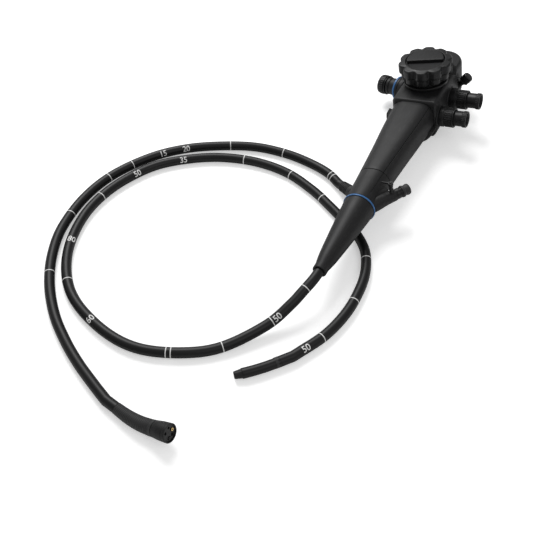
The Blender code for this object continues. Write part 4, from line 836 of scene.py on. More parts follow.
def connector_shell():
    face = SHELL_LENGTH
    well = SHELL_RADIUS - SHELL_WALL
    profile = [
        (0.0, 2.0), (well, 2.0), (well, face), (SHELL_RADIUS, face), (SHELL_RADIUS, face - 2.2),
        (SHELL_RADIUS - 0.35, face - 2.5), (SHELL_RADIUS - 0.35, face - 3.3),
        (SHELL_RADIUS - 0.1, face - 3.6), (SHELL_RADIUS - 0.3, face * 0.4), (FLARE_RADIUS, 0.0),
        (0.0, 0.0),
    ]
    bm = bmesh.new()
    revolve(bm, soften(profile, 0.3), plug_frame(), 64)
    return piece("connector_casing", bm, "casing", ROOT, ("connector_shell",), Matrix())


def umbilical_relief():
    """Ribbed relief on the umbilical's socket."""
    profile = [(0.0, RELIEF_LENGTH), (RELIEF_TIP_RADIUS, RELIEF_LENGTH)]
    count = 6
    for i in range(count):
        top = RELIEF_LENGTH - 1.2 - i * 2.1
        radius = RELIEF_TIP_RADIUS + (RELIEF_ROOT_RADIUS - RELIEF_TIP_RADIUS) * (1 - top / RELIEF_LENGTH)
        profile += [(radius, top), (radius - 0.6, top - 0.2), (radius - 0.6, top - 0.9), (radius, top - 1.1)]
    profile += [(RELIEF_ROOT_RADIUS, CLEARANCE), (0.0, CLEARANCE)]
    start = SOCKET_CENTRE + SOCKET_HEADING * SOCKET_REACH
    return turned_piece(
        "ribbed_relief", profile, "rubber", ROOT, start, SOCKET_HEADING, ("umbilical_relief",), 0.25
    )


def placing_tree(name, inputs, vertices, facing):
    """A tree that stands a cylinder on each of some points, makes them real and paints them.

    Gives back the tree, its inputs' identifiers by label and its nodes by kind.
    """
    tree = bpy.data.node_groups.new(name, "GeometryNodeTree")
    for side in ("OUTPUT", "INPUT"):
        tree.interface.new_socket("Geometry", in_out=side, socket_type="NodeSocketGeometry")
    sockets = {
        label: tree.interface.new_socket(label, in_out="INPUT", socket_type="NodeSocket" + kind).identifier
        for label, kind in (*inputs, ("Material", "Material"))
    }
    kinds = {
        "entry": "NodeGroupInput", "leave": "NodeGroupOutput", "shape": "GeometryNodeMeshCylinder",
        "turn": "FunctionNodeAlignRotationToVector", "place": "GeometryNodeInstanceOnPoints",
        "real": "GeometryNodeRealizeInstances", "paint": "GeometryNodeSetMaterial",
    }
    nodes = {label: tree.nodes.new(kind) for label, kind in kinds.items()}
    nodes["shape"].inputs["Vertices"].default_value = vertices
    nodes["turn"].axis = facing
    for source, output, target, entry in (
        ("shape", "Mesh", "place", "Instance"), ("turn", 0, "place", "Rotation"),
        ("place", "Instances", "real", "Geometry"), ("real", "Geometry", "paint", "Geometry"),
        ("entry", "Material", "paint", "Material"), ("paint", "Geometry", "leave", "Geometry"),
    ):
        tree.links.new(nodes[source].outputs[output], nodes[target].inputs[entry])
    return tree, sockets, nodes


def nodes_result(name, tree, holder, settings, matrix=Matrix()):
    """The plain mesh that a node tree makes of a holder, with its inputs set by their identifiers."""
    modifier = holder.modifiers.new(name, "NODES")
    modifier.node_group = tree
    for identifier, value in settings.items():
        modifier[identifier] = value
    graph = bpy.context.evaluated_depsgraph_get()
    mesh = bpy.data.meshes.new_from_object(holder.evaluated_get(graph), depsgraph=graph)
    if not mesh.vertices:
        raise RuntimeError(f"{name} came out empty")
    bpy.data.objects.remove(holder)
    mesh.name = name
    mesh.transform(METRES @ matrix)
    mesh.shade_smooth()
    mesh.set_sharp_from_angle(angle=NODES_SHARP_ANGLE)
    return link(bpy.data.objects.new(name, mesh))


def depth_rings(name, points, distances):
    """Printed rings round a cord, one at each distance along it."""
    lengths = running_lengths(points)
    spots = [point_at(points, lengths, d) for d in distances]
    mesh = bpy.data.meshes.new(name + "_spots")
    mesh.from_pydata(spots, [], [])
    heading = mesh.attributes.new("heading", "FLOAT_VECTOR", "POINT")
    for i, distance in enumerate(distances):
        heading.data[i].vector = (point_at(points, lengths, distance + 1) - spots[i]).normalized()
    holder = link(bpy.data.objects.new(name + "_spots", mesh))
    inputs = (("Radius", "Float"), ("Width", "Float"))
    tree, sockets, nodes = placing_tree(name + "_nodes", inputs, 2 * TUBE_SIDES, "Z")
    field = tree.nodes.new("GeometryNodeInputNamedAttribute")
    field.data_type = "FLOAT_VECTOR"
    field.inputs["Name"].default_value = "heading"
    tree.links.new(nodes["entry"].outputs["Radius"], nodes["shape"].inputs["Radius"])
    tree.links.new(nodes["entry"].outputs["Width"], nodes["shape"].inputs["Depth"])
    tree.links.new(field.outputs["Attribute"], nodes["turn"].inputs["Vector"])
    tree.links.new(nodes["entry"].outputs["Geometry"], nodes["place"].inputs["Points"])
    settings = {
        sockets["Radius"]: TUBE_RADIUS + INK_STAND,
        sockets["Width"]: bpy.context.scene.endoscope_sizes.mark_width / MM,
        sockets["Material"]: FINISHES["ink"],
    }
    return dress(nodes_result(name, tree, holder, settings), "ink", ROOT)


def number_mesh(text):
    """A number as a thin solid, its height along Y and its middle at the origin."""
    curve = bpy.data.curves.new("number_" + text, "FONT")
    curve.body = text
    curve.extrude = 0.01
    curve.offset = 0.012
    holder = link(bpy.data.objects.new("number_" + text, curve))
    graph = bpy.context.evaluated_depsgraph_get()
    mesh = bpy.data.meshes.new_from_object(holder.evaluated_get(graph), depsgraph=graph)
    bpy.data.objects.remove(holder)
    bm = bmesh.new()
    bm.from_mesh(mesh)
    bpy.data.meshes.remove(mesh)
    xs, ys = [v.co.x for v in bm.verts], [v.co.y for v in bm.verts]
    scale = NUMBER_HEIGHT / (max(ys) - min(ys))
    middle = Vector(((max(xs) + min(xs)) / 2, (max(ys) + min(ys)) / 2, 0))
    for vertex in bm.verts:
        place = (vertex.co - middle) * scale
        vertex.co = Vector((place.x * NUMBER_WIDTH_SHARE, place.y, math.copysign(INK_STAND, place.z)))
    for normal in (Vector((1, 0, 0)), Vector((0, 1, 0))):
        for i in range(-10, 11):
            everything, at = [*bm.verts, *bm.edges, *bm.faces], normal * 0.6 * i
            bmesh.ops.bisect_plane(bm, geom=everything, plane_co=at, plane_no=normal, dist=SAME_SPOT)
    return bm


def depth_number(name, text, points, distance, turn):
    """A number printed round a cord, where it faces up towards a reader."""
    lengths = running_lengths(points)
    cosine, sine = math.cos(math.radians(turn)), math.sin(math.radians(turn))
    reader = (bpy.context.scene.camera.location / MM - point_at(points, lengths, distance)).normalized()
    bm = number_mesh(text)
    for vertex in bm.verts:
        along = vertex.co.x * cosine - vertex.co.y * sine
        around = (vertex.co.x * sine + vertex.co.y * cosine) / TUBE_RADIUS
        reached = distance + along
        centre = point_at(points, lengths, reached)
        ahead, behind = point_at(points, lengths, reached + 1), point_at(points, lengths, reached - 1)
        heading = (ahead - behind).normalized()
        face = (reader - heading * reader.dot(heading)).normalized()
        side = face.cross(heading)
        radius = TUBE_RADIUS + vertex.co.z
        vertex.co = centre + (face * math.cos(around) + side * math.sin(around)) * radius
    return piece(name, bm, "ink", ROOT, (), Matrix())


def depth_marks(name, points, rings, numbers):
    made = [depth_rings(name + "_rings", points, rings)]
    for i, (text, distance, turn) in enumerate(numbers):
        made.append(depth_number(f"{name}_number_{i}", text, points, distance, turn))
    return made


class ENDOSCOPE_OT_cords(bpy.types.Operator):
    """Sweeps the sheaths of the insertion tube and the umbilical, with the pieces that they carry"""

    bl_idname = "endoscope.cords"
    bl_label = "Cords"

    def execute(self, context):
        links = [f"bending_link_{i}" for i in range(1, HINGE_COUNT)]
        nodes = ("tube_coupling", *links, "distal_tip", *TIP_GLASS)
        ends = [*bending_skins(), *[bpy.data.objects[n] for n in nodes]]
        mouth = MOUTH + Vector((0, 0, BODY_CENTRE.z))
        line = insertion_line()
        ends += depth_marks("insertion", line, INSERTION_RINGS, INSERTION_NUMBERS)
        cord_piece("insertion_sheath", line, "insertion_tube", mouth)
        plugs = [umbilical_relief(), connector_flare(), connector_shell()]
        plugs += [bpy.data.objects[n] for n in ("connector_insert", "connector_pin", "connector_nozzle")]
        line = umbilical_line()
        plugs += depth_marks("umbilical", line, UMBILICAL_RINGS, UMBILICAL_NUMBERS)
        cord_piece("umbilical_sheath", line, "umbilical_cord", line[0])
        return {"FINISHED"}


def arc(radius, start, end, count, centre=(0.0, 0.0)):
    angles = spread(start, end, count - 1)
    return [(centre[0] + radius * math.cos(a), centre[1] + radius * math.sin(a)) for a in angles]


def head_ring(inset, height, lean=TOP_LEAN):
    """The head's outline along the knob axis, drawn in by an inset times its share left, right and front."""
    left_in, right_in = inset * lean[0], inset * lean[1]
    front = -HEAD_FRONT + inset * lean[2]
    left_half, right_half = HEAD_HALF_WIDTH - left_in, HEAD_HALF_WIDTH - right_in
    soft, crisp = max(HEAD_ROUND - inset, 0.02), max(HEAD_CRISP - inset / 2, 0.02)
    middle, half = (right_half - left_half) / 2, (right_half + left_half) / 2
    reach = HEAD_HALF_WIDTH - inset
    outline = [
        *arc(soft, math.pi, 1.5 * math.pi, 9, (soft - left_half, front + soft)),
        *arc(crisp, 1.5 * math.pi, 2 * math.pi, 9, (right_half - crisp, front + crisp)),
        *[(middle + x * half, HEAD_STRAIGHT + y * reach) for x, y in arc(1.0, 0.0, math.pi, 65)],
    ]
    return [Vector((x, y, height)) for x, y in outline]


def rounding(top, edge, steps=7):
    """Insets and heights of a quarter round, from the side up to the top."""
    angles = spread(0.0, math.pi / 2, steps)
    return [(edge * (1 - math.cos(a)), top - edge * (1 - math.sin(a))) for a in angles]


def loft(bm, rings):
    """Adds a closed surface through rings of points, its first and last ring filled."""
    loops = [[bm.verts.new(p) for p in ring] for ring in rings]
    for a, b in zip(loops, loops[1:]):
        bridge(bm, a, b)
    bm.faces.new(loops[0])
    bm.faces.new(list(reversed(loops[-1])))


def cut(bm, at, normal, **side):
    """Cuts a mesh at a plane, drops its outer or inner side and fills the cut."""
    everything = [*bm.verts, *bm.edges, *bm.faces]
    made = bmesh.ops.bisect_plane(bm, geom=everything, plane_co=at, plane_no=normal, **side)
    bmesh.ops.holes_fill(bm, edges=[g for g in made["geom_cut"] if isinstance(g, bmesh.types.BMEdge)])


def join(bm, part):
    """Adds a part to a mesh."""
    mesh = bpy.data.meshes.new("joined_part")
    part.to_mesh(mesh)
    part.free()
    bm.from_mesh(mesh)
    bpy.data.meshes.remove(mesh)


def boss(bm, location, heading, radius, length, fillet):
    """A round boss with a filleted root and a rounded edge."""
    angles = spread(0.0, math.pi / 2, 6)
    root = [(radius + fillet * (1 - math.sin(a)), fillet * (1 - math.cos(a))) for a in angles]
    top = [(radius - inset, height) for inset, height in rounding(length, 0.4, 4)]
    profile = [(0.0, -1.0), (radius + fillet, -1.0), *root, *top, (0.0, length)]
    revolve(bm, profile, aimed(location, heading), 72)


class ENDOSCOPE_OT_head(bpy.types.Operator):
    """Lofts the head's housing with its bosses"""

    bl_idname = "endoscope.head"
    bl_label = "Head"

    def execute(self, context):
        bm = bmesh.new()
        top = rounding(HEAD_TOP, HEAD_ROUND, 9)
        angles = spread(0.0, math.pi / 2, 10)
        belly = [
            (BELLY_INSET * (1 - math.sin(a)), HEAD_BELLY * (1 - math.cos(a)) - HEAD_BOTTOM) for a in angles
        ]
        inner = [(BELLY_INSET + 0.1, -HEAD_BOTTOM + HEAD_WALL), (BELLY_INSET, -HEAD_BOTTOM + 0.1)]
        rings = [head_ring(inset, height, BELLY_LEAN) for inset, height in [*inner, *belly]]
        loft(bm, [*rings, *[head_ring(inset, height) for inset, height in top]])
        for at, radius in ((SUCTION_AT, 11.6), (AIR_AT, 10.8)):
            boss(bm, (HEAD_HALF_WIDTH, at, 0), (1, 0, 0), radius, VALVE_SEAT, 0.7)
        root = POST_ROOT + POST_HEADING * POST_BOSS_SUNK
        boss(bm, root, POST_HEADING, POST_FLANGE_RADIUS, POST_BOSS - POST_BOSS_SUNK, 1.6)
        piece("head_casing", bm, "casing", ROOT, ("head_housing",))
        cover = bmesh.new()
        inset, low = BELLY_INSET + CLEARANCE, 0.12 - HEAD_BOTTOM
        steps = [(inset + 0.4, low), (inset + 0.1, low + 0.1), (inset, low + 0.4), (inset, low + 2)]
        loft(cover, [head_ring(drawn, height, BELLY_LEAN) for drawn, height in steps])
        piece("rear_cover", cover, "casing", ROOT, ("back_cover",))
        return {"FINISHED"}


def section_sizes(distance):
    """Half width, half height and squareness of the grip, smooth between its stations."""
    stations = SECTION_STATIONS
    k = 0
    while k < len(stations) - 2 and distance > stations[k + 1][0]:
        k += 1
    d0, d1 = stations[k][0], stations[k + 1][0]
    t = bounded((distance - d0) / (d1 - d0))

    def numbers(i):
        d, (wide, tall), power = stations[min(max(i, 0), len(stations) - 1)]
        return d, (wide, tall, power)

    values = []
    for which in range(3):
        (da, a), (db, b), (dc, c), (dd, d) = (numbers(k + j) for j in (-1, 0, 1, 2))
        span = dc - db
        slope_in = (c[which] - a[which]) / max(dc - da, 1e-9) * span
        slope_out = (d[which] - b[which]) / max(dd - db, 1e-9) * span
        h00, h10 = 2 * t**3 - 3 * t**2 + 1, t**3 - 2 * t**2 + t
        h01, h11 = -2 * t**3 + 3 * t**2, t**3 - t**2
        values.append(h00 * b[which] + h10 * slope_in + h01 * c[which] + h11 * slope_out)
    return values


def section_point(distance, angle, inset=0.0):
    wide, tall, power = section_sizes(distance)
    taper = bounded((BRANCH_END - distance) / BRANCH_LENGTH)
    c, s = math.cos(angle), math.sin(angle)
    if c > 0:
        wide -= GRIP_RIGHT_DRAWN * taper
    if s < 0:
        power += (BELLY_SQUARENESS - power) * taper
        tall -= GRIP_BELLY_DRAWN * taper
    x = math.copysign(abs(c) ** (2 / power), c) * (wide - inset)
    z = math.copysign(abs(s) ** (2 / power), s) * (tall - inset)
    return Vector((x, -distance, z))


def end_insets(start, end, edge, count, steps=5):
    """Distances and insets of a lofted length whose ends are rounded."""
    angles = spread(0.0, math.pi / 2, steps)
    head = [(start + edge * (1 - math.sin(a)), edge * (1 - math.cos(a))) for a in reversed(angles)]
    span = [(distance, 0.0) for distance in spread(start + edge, end - edge, count)[1:-1]]
    tail = [(end - edge * (1 - math.sin(a)), edge * (1 - math.cos(a))) for a in angles]
    return [*head, *span, *tail]


def seam_angle(distance):
    """The seam turns towards the top of the grip on its way to the ring."""
    return SEAM_ANGLE + SEAM_SWING * bounded((distance - GRIP_START) / (BRANCH_END - GRIP_START))


def half_shell(name, opposite, node):
    """Half of the grip between the head and the parting line, its long edges softened."""
    gap = SEAM_GAP / 2 / GRIP_MEAN_RADIUS
    edge = math.radians(0.7)
    rings = []
    for distance, inset in end_insets(GRIP_START, PARTING, 0.5, 24):
        near, far = seam_angle(distance), SEAM_ANGLE - math.pi
        first, last = (far + gap, near - gap) if opposite else (near + gap, far + 2 * math.pi - gap)
        angles = spread(first + edge, last - edge, 60)
        outer = [section_point(distance, a, inset) for a in angles]
        lips = [(edge * f, inset + SEAM_LIP * (1 - f) ** 2) for f in (0.0, 0.3, 0.6)]
        lip_start = [section_point(distance, first + turn, drawn) for turn, drawn in lips]
        lip_end = [section_point(distance, last - turn, drawn) for turn, drawn in reversed(lips)]
        inner = [section_point(distance, a, GRIP_WALL) for a in reversed([first, *angles, last])]
        rings.append([*lip_start, *outer, *lip_end, *inner])
    bm = bmesh.new()
    loft(bm, rings)
    return piece(name, bm, "casing", ROOT, (node,))


def neck_profile():
    """The instrument branch, flared where it leaves the housing."""
    return [
        (0.0, NECK_LENGTH), (NECK_RADIUS, NECK_LENGTH), (NECK_RADIUS + 0.1, NECK_LENGTH * 0.84),
        (NECK_RADIUS + 0.3, NECK_LENGTH * 0.68), (NECK_RADIUS + 0.8, NECK_LENGTH * 0.52),
        (NECK_RADIUS + 1.4, NECK_LENGTH * 0.36), (NECK_RADIUS + 1.7, NECK_LENGTH * 0.18),
        (NECK_RADIUS + 1.8, 0.0), (0.0, 0.0),
    ]


class ENDOSCOPE_OT_grip(bpy.types.Operator):
    """Lofts the grip's shells, the branch housing, the blue ring and the strain boot"""

    bl_idname = "endoscope.grip"
    bl_label = "Grip"

    def execute(self, context):
        half_shell("grip_casing_left", False, "grip_shell_left")
        half_shell("grip_casing_right", True, "grip_shell_right")
        self.branch()
        ring = [
            (TUBE_RADIUS, RING_WIDTH), (RING_RADIUS - 0.1, RING_WIDTH), (RING_RADIUS - 0.1, 0.0),
            (TUBE_RADIUS, 0.0),
        ]
        forward, at = (0, -1, 0), (0, -RING_START, 0)
        turned_piece("ring_seat", ring, "casing", ROOT, at, forward, ("boot_ring",), closed=True)
        half, low, high = 0.75, RING_RADIUS - 1, RING_RADIUS + RING_STAND + 0.1
        band = [(low, -half), (high, -half), (high, half), (low, half)]
        middle = (0, -RING_START - RING_WIDTH / 2, 0)
        turned_piece("marking_ring", band, "blue", ROOT, middle, forward, (), 0.3, 96, True)
        self.boot()
        self.rest()
        return {"FINISHED"}

    def branch(self):
        bm = bmesh.new()
        half_gap = SEAM_GAP / 2 / BRANCH_MEAN_RADIUS
        rings = []
        for distance, inset in end_insets(BRANCH_START, BRANCH_END, 0.5, 40):
            seam = seam_angle(distance)
            depth = SEAM_DEPTH * bounded((BRANCH_END - 7 - distance) / 2)
            groove = [(seam + half_gap * turn, inset + depth * share) for turn, share in SEAM_GROOVE]
            plain = [(a, inset) for a in spread(seam + half_gap, seam + 2 * math.pi - half_gap, 116)[1:-1]]
            rings.append([section_point(distance, a, drawn) for a, drawn in [*groove, *plain]])
        loft(bm, rings)
        join(bm, self.neck())
        socket = [(0.0, SOCKET_REACH), (6.8, SOCKET_REACH), (7.8, -2), (9.6, -8), (0.0, -8)]
        revolve(bm, soften(socket, 0.6), aimed(SOCKET_CENTRE, SOCKET_HEADING), 64)
        piece("branch_casing", bm, "casing", ROOT, ("branch_housing",))

    def neck(self):
        """The instrument branch and the web behind it, cut off level with the housing's end."""
        neck = bmesh.new()
        revolve(neck, soften(neck_profile(), 0.6), aimed(NECK_END - NECK_AXIS * NECK_LENGTH, NECK_AXIS), 64)
        web = [
            (0.0, 15.4), (4.4, 15.4), (5.2, 14.6), (6.8, 9), (8.8, 5), (11, 0.0), (0.0, 0.0),
        ]
        revolve(neck, soften(web, 0.8), aimed(WEB_ROOT, WEB_HEADING), 64)
        cut(neck, (0, 0.2 - BRANCH_END, 0), (0, -1, 0), clear_outer=True)
        return neck

    def rest(self):
        """The rubber rest: its top follows the grip, its foot is cut flat on the table."""
        bm = bmesh.new()
        angles = spread(math.pi - REST_WRAP, 2 * math.pi - REST_WRAP, 60)
        rings = []
        for distance, inset in end_insets(REST_START, REST_END, 0.8, 4):
            outer = [section_point(distance, a, inset - REST_THICKNESS) for a in angles]
            inner = [section_point(distance, a, -CLEARANCE) for a in reversed(angles)]
            rings.append([*outer, *inner])
        loft(bm, rings)
        foot = bmesh.new()
        low, high = -HEAD_BOTTOM - 12, -HEAD_BOTTOM + 0.5
        outline = [(7, -REST_START), (-12, -REST_START), (-12, -REST_END), (7, -REST_END)]
        loft(foot, [[Vector((x, y, z)) for x, y in soften(outline, 1.2, True)] for z in (low, high)])
        table = BODY.inverted() @ Vector((0, 0, 0))
        up = BODY.to_3x3().inverted() @ Vector((0, 0, 1))
        cut(foot, table, up, clear_inner=True)
        join(bm, foot)
        piece("grip_rest", bm, "rubber", ROOT, ("underside_rest",))

    def boot(self):
        """The strain boot tapers along a smooth curve and ends in a lip."""
        r0, length = RING_RADIUS, BOOT_LENGTH
        outline = (
            (0.0, r0 - 0.2), (0.22, r0 - 1.75), (0.50, r0 - 4.0), (0.78, r0 - 6.5),
            (1 - 6 / length, BOOT_MOUTH_RADIUS),
        )
        points = smooth_points([(radius, share * length, 0.0) for share, radius in outline], 1.5)
        lip = [
            (BOOT_MOUTH_RADIUS, length - 4.4), (BOOT_MOUTH_RADIUS, length - 0.5),
            (BOOT_MOUTH_RADIUS - 0.5, length), (TUBE_RADIUS + 0.4, length),
            (TUBE_RADIUS + 0.4, length - TUBE_SEAT), (TUBE_RADIUS - 0.8, length - TUBE_SEAT - CLEARANCE),
            (TUBE_RADIUS - 0.8, 0.0),
        ]
        profile = [*[(p.x, p.y) for p in points], *soften(lip, 0.4)]
        bm = bmesh.new()
        revolve(bm, profile, aimed((0, -BOOT_START, 0), (0, -1, 0)), 72, True)
        piece("taper_boot", bm, "casing", ROOT, ("strain_boot",))


def lobed_ring(radius, height, inset):
    """A knob's outline: round lobes with scallops between them."""
    points = []
    for angle in spread(DISC_TURN, DISC_TURN + 2 * math.pi, KNOB_STEPS)[:-1]:
        wave = (1 - math.cos(KNOB_LOBES * (angle - LOBE_TURN))) / 2
        reach = radius - KNOB_SCALLOP * wave**LOBE_POWER - inset * (1 - 0.35 * wave)
        points.append(Vector((reach * math.cos(angle), reach * math.sin(angle), height)))
    return points


def knob_rings(radius, bottom, top, edge):
    """The rings of a knob from its bottom face to its top face, both edges rounded."""
    low = [(inset, bottom - height) for inset, height in reversed(rounding(0.0, edge))]
    return [lobed_ring(radius, height, inset) for inset, height in [*low, *rounding(top, edge)]]


def half_ring(radius, height, inset, count=40):
    """The raised half of the brake disc, its straight side across the middle."""
    corner = 1.2
    reach = radius - inset
    low = inset + corner - DISC_LIP
    start = math.asin(low / (reach - corner))
    centre = math.cos(start) * (reach - corner)
    points = [
        *arc(corner, -math.pi / 2, start, 8, (centre, low)),
        *arc(reach, start, math.pi - start, count),
        *arc(corner, math.pi - start, 1.5 * math.pi, 8, (-centre, low)),
    ]
    turn = Matrix.Rotation(DISC_TURN, 3, "Z")
    return [turn @ Vector((x, y, height)) for x, y in points]


class ENDOSCOPE_OT_knobs(bpy.types.Operator):
    """Lofts the control knobs, their collar and the brake disc"""

    bl_idname = "endoscope.knobs"
    bl_label = "Knobs"

    def execute(self, context):
        collar = [(5.6, DECK), (COLLAR_RADIUS, DECK), (COLLAR_RADIUS, COLLAR_TOP), (5.6, COLLAR_TOP)]
        at, upward = (0, 0, 0), (0, 0, 1)
        turned_piece("deck_collar", collar, "knob", ROOT, at, upward, ("knob_collar",), 0.8, 96, True)
        self.lower_knob()
        self.upper_knob()
        self.disc()
        return {"FINISHED"}

    def lower_knob(self):
        bm = bmesh.new()
        rings = knob_rings(UD_KNOB_RADIUS, UD_AT, UD_TOP, 1.6)
        loft(bm, [circle(6, UD_AT, KNOB_STEPS, DISC_TURN), *rings, circle(6, UD_TOP, KNOB_STEPS, DISC_TURN)])
        revolve(bm, [(0.0, UD_AT), (5.2, UD_AT), (5.2, -9), (0.0, -9)], steps=40)
        piece("up_down_knob", bm, "knob", "ud_control", ("ud_knob",))

    def upper_knob(self):
        bm = bmesh.new()
        rings = knob_rings(LR_KNOB_RADIUS, LR_AT, LR_TOP, 2.0)
        recess, floor = DISC_RADIUS + 0.45, DISC_AT - CLEARANCE
        well = [
            (recess + 1.6, LR_TOP + 0.35), (recess + 1.0, LR_TOP + 0.5), (recess + 0.3, LR_TOP + 0.35),
            (recess, LR_TOP - 0.1), (recess, floor + 0.3), (recess - 0.3, floor), (2.0, floor),
        ]
        well = [circle(radius, height, KNOB_STEPS, DISC_TURN) for radius, height in well]
        loft(bm, [circle(4, LR_AT, KNOB_STEPS, DISC_TURN), *rings, *well])
        revolve(bm, [(0.0, LR_AT), (3, LR_AT), (3, -17), (0.0, -17)], steps=40)
        piece("left_right_knob", bm, "knob", "lr_control", ("lr_knob",))

    def disc(self):
        bm = bmesh.new()
        profile = [
            (0.0, DISC_AT), (DISC_RADIUS, DISC_AT), (DISC_RADIUS, DISC_AT + DISC_LOW),
            (DISC_RADIUS - 1.1, DISC_AT + DISC_LOW), (DISC_RADIUS - 1.5, DISC_AT + DISC_LOW - 0.5),
            (0.0, DISC_AT + DISC_LOW - 0.5),
        ]
        revolve(bm, soften(profile, 0.35), steps=144)
        top = DISC_AT + DISC_HIGH
        rings = [half_ring(DISC_RADIUS - 0.8, height, inset) for inset, height in rounding(top, 0.6)]
        loft(bm, [half_ring(DISC_RADIUS - 0.8, DISC_AT + 0.5, 0.0), *rings])
        piece("brake_disc", bm, "knob", "lr_brake", ("lr_brake_disc",))


class ENDOSCOPE_OT_valves(bpy.types.Operator):
    """Turns the suction and air valves"""

    bl_idname = "endoscope.valves"
    bl_label = "Valves"

    def execute(self, context):
        self.valve("suction", SUCTION_AT, 10.8, 7.5, 13.4)
        self.valve("air", AIR_AT, 10.0, 5.0, 12.5)
        return {"FINISHED"}

    def valve(self, name, at, base_radius, base, button):
        top = base + 9.5
        collar = VALVE_COLLAR_RADIUS
        profile = [
            (VALVE_BORE, 0.0), (base_radius, 0.0), (base_radius, base - 0.9), (collar - 0.5, base - 0.5),
            (collar - 0.5, base + 0.6), (collar - 0.4, base + 0.8), (collar - 0.4, top - 1.6),
            (collar, top - 1.2), (collar, top), (VALVE_BORE, top),
        ]
        place, outward = (VALVE_FACE, at, 0), (1, 0, 0)
        turned_piece(
            name + "_seat", profile, "knob", ROOT, place, outward, (name + "_cylinder",), 0.35, 96, True
        )
        knurl(name + "_knurl", collar - 0.4, base + 1.0, top - 1.8, place, outward, ROOT)
        end = top + button
        cap = [
            (0.0, end - 2.6), (5.6, end - 2.6), (5.9, end - 0.9), (6.6, end - 0.7), (6.8, end), (8.0, end),
            (8.0, end - 4.2), (7.6, end - 4.6), (7.6, top - 2), (3.4, top - 2), (3.4, top - 8),
            (0.0, top - 8),
        ]
        turned_piece(name + "_cap", cap, "knob", name + "_push", place, outward, (name + "_button",), 0.4)
        knurl(name + "_ribs", 7.9, end - 4.0, end - 0.8, place, outward, name + "_push")


def knurl(name, radius, low, high, location, heading, body):
    """Ridges round a turned piece: bars placed evenly on a circle."""
    inputs = (("Count", "Int"), ("Radius", "Float"), ("Height", "Float"))
    tree, sockets, nodes = placing_tree(name + "_ridges", inputs, KNURL_SIDES, "X")
    ring = tree.nodes.new("GeometryNodeMeshCircle")
    position = tree.nodes.new("GeometryNodeInputPosition")
    nodes["shape"].inputs["Radius"].default_value = 1.0
    nodes["place"].inputs["Scale"].default_value = (KNURL_STAND, KNURL_STAND, 1.0)
    tree.links.new(nodes["entry"].outputs["Count"], ring.inputs["Vertices"])
    tree.links.new(nodes["entry"].outputs["Radius"], ring.inputs["Radius"])
    tree.links.new(nodes["entry"].outputs["Height"], nodes["shape"].inputs["Depth"])
    tree.links.new(position.outputs[0], nodes["turn"].inputs["Vector"])
    tree.links.new(ring.outputs["Mesh"], nodes["place"].inputs["Points"])
    holder = link(bpy.data.objects.new(name + "_holder", bpy.data.meshes.new(name + "_holder")))
    settings = {
        sockets["Count"]: bpy.context.scene.endoscope_sizes.knurl_count,
        sockets["Radius"]: radius,
        sockets["Height"]: high - low,
        sockets["Material"]: FINISHES["knob"],
    }
    place = BODY @ aimed(location, heading) @ Matrix.Translation((0, 0, (low + high) / 2))
    return dress(nodes_result(name, tree, holder, settings, place), "knob", body)


class ENDOSCOPE_OT_light_post(bpy.types.Operator):
    """Turns the light post, its blue ring and its knurled cap"""

    bl_idname = "endoscope.light_post"
    bl_label = "Light post"

    def execute(self, context):
        face = POST_ROOT + POST_HEADING * (POST_BOSS + CLEARANCE)
        top = POST_FLANGE + POST_RING_WIDTH + POST_LENGTH + 2 * CLEARANCE
        post = [
            (0.0, top + 4.5), (6.0, top + 4.5), (6.0, top), (POST_RADIUS, top), (POST_RADIUS, top - 3.0),
            (POST_RADIUS - 0.8, top - 3.6), (POST_RADIUS - 0.8, top - 4.4), (POST_RADIUS, top - 5.0),
            (POST_RADIUS, POST_FLANGE), (POST_FLANGE_RADIUS, POST_FLANGE), (POST_FLANGE_RADIUS, 0.0),
            (0.0, 0.0),
        ]
        turned_piece("light_guide_post", post, "casing", ROOT, face, POST_HEADING, ("light_post",), 0.4, 96)
        ring = [
            (POST_RADIUS + CLEARANCE, POST_RING_WIDTH), (POST_RING_RADIUS, POST_RING_WIDTH),
            (POST_RING_RADIUS, 0.0), (POST_RADIUS + CLEARANCE, 0.0),
        ]
        at = face + POST_HEADING * (POST_FLANGE + CLEARANCE)
        turned_piece(
            "post_marking_ring", ring, "blue", ROOT, at, POST_HEADING, ("light_post_ring",), 0.4, 96, True
        )
        r, length = POST_CAP_RADIUS, POST_CAP_LENGTH
        cap = [
            (0.0, length - 0.7), (r - 3.4, length - 0.7), (r - 3.0, length), (r - 0.6, length),
            (r - 0.3, length - 1.6), (r - 0.3, 2.3), (r - 1.1, 2.0), (r - 1.1, 1.2), (r - 0.1, 0.9),
            (r - 0.1, 0.0), (0.0, 0.0),
        ]
        at = face + POST_HEADING * (top + CLEARANCE)
        turned_piece("post_cap", cap, "knob", "post_cap", at, POST_HEADING, ("light_post_cap",), 0.4, 96)
        knurl("post_cap_knurl", r - 0.3, 2.6, length - 1.8, at, POST_HEADING, "post_cap")
        return {"FINISHED"}


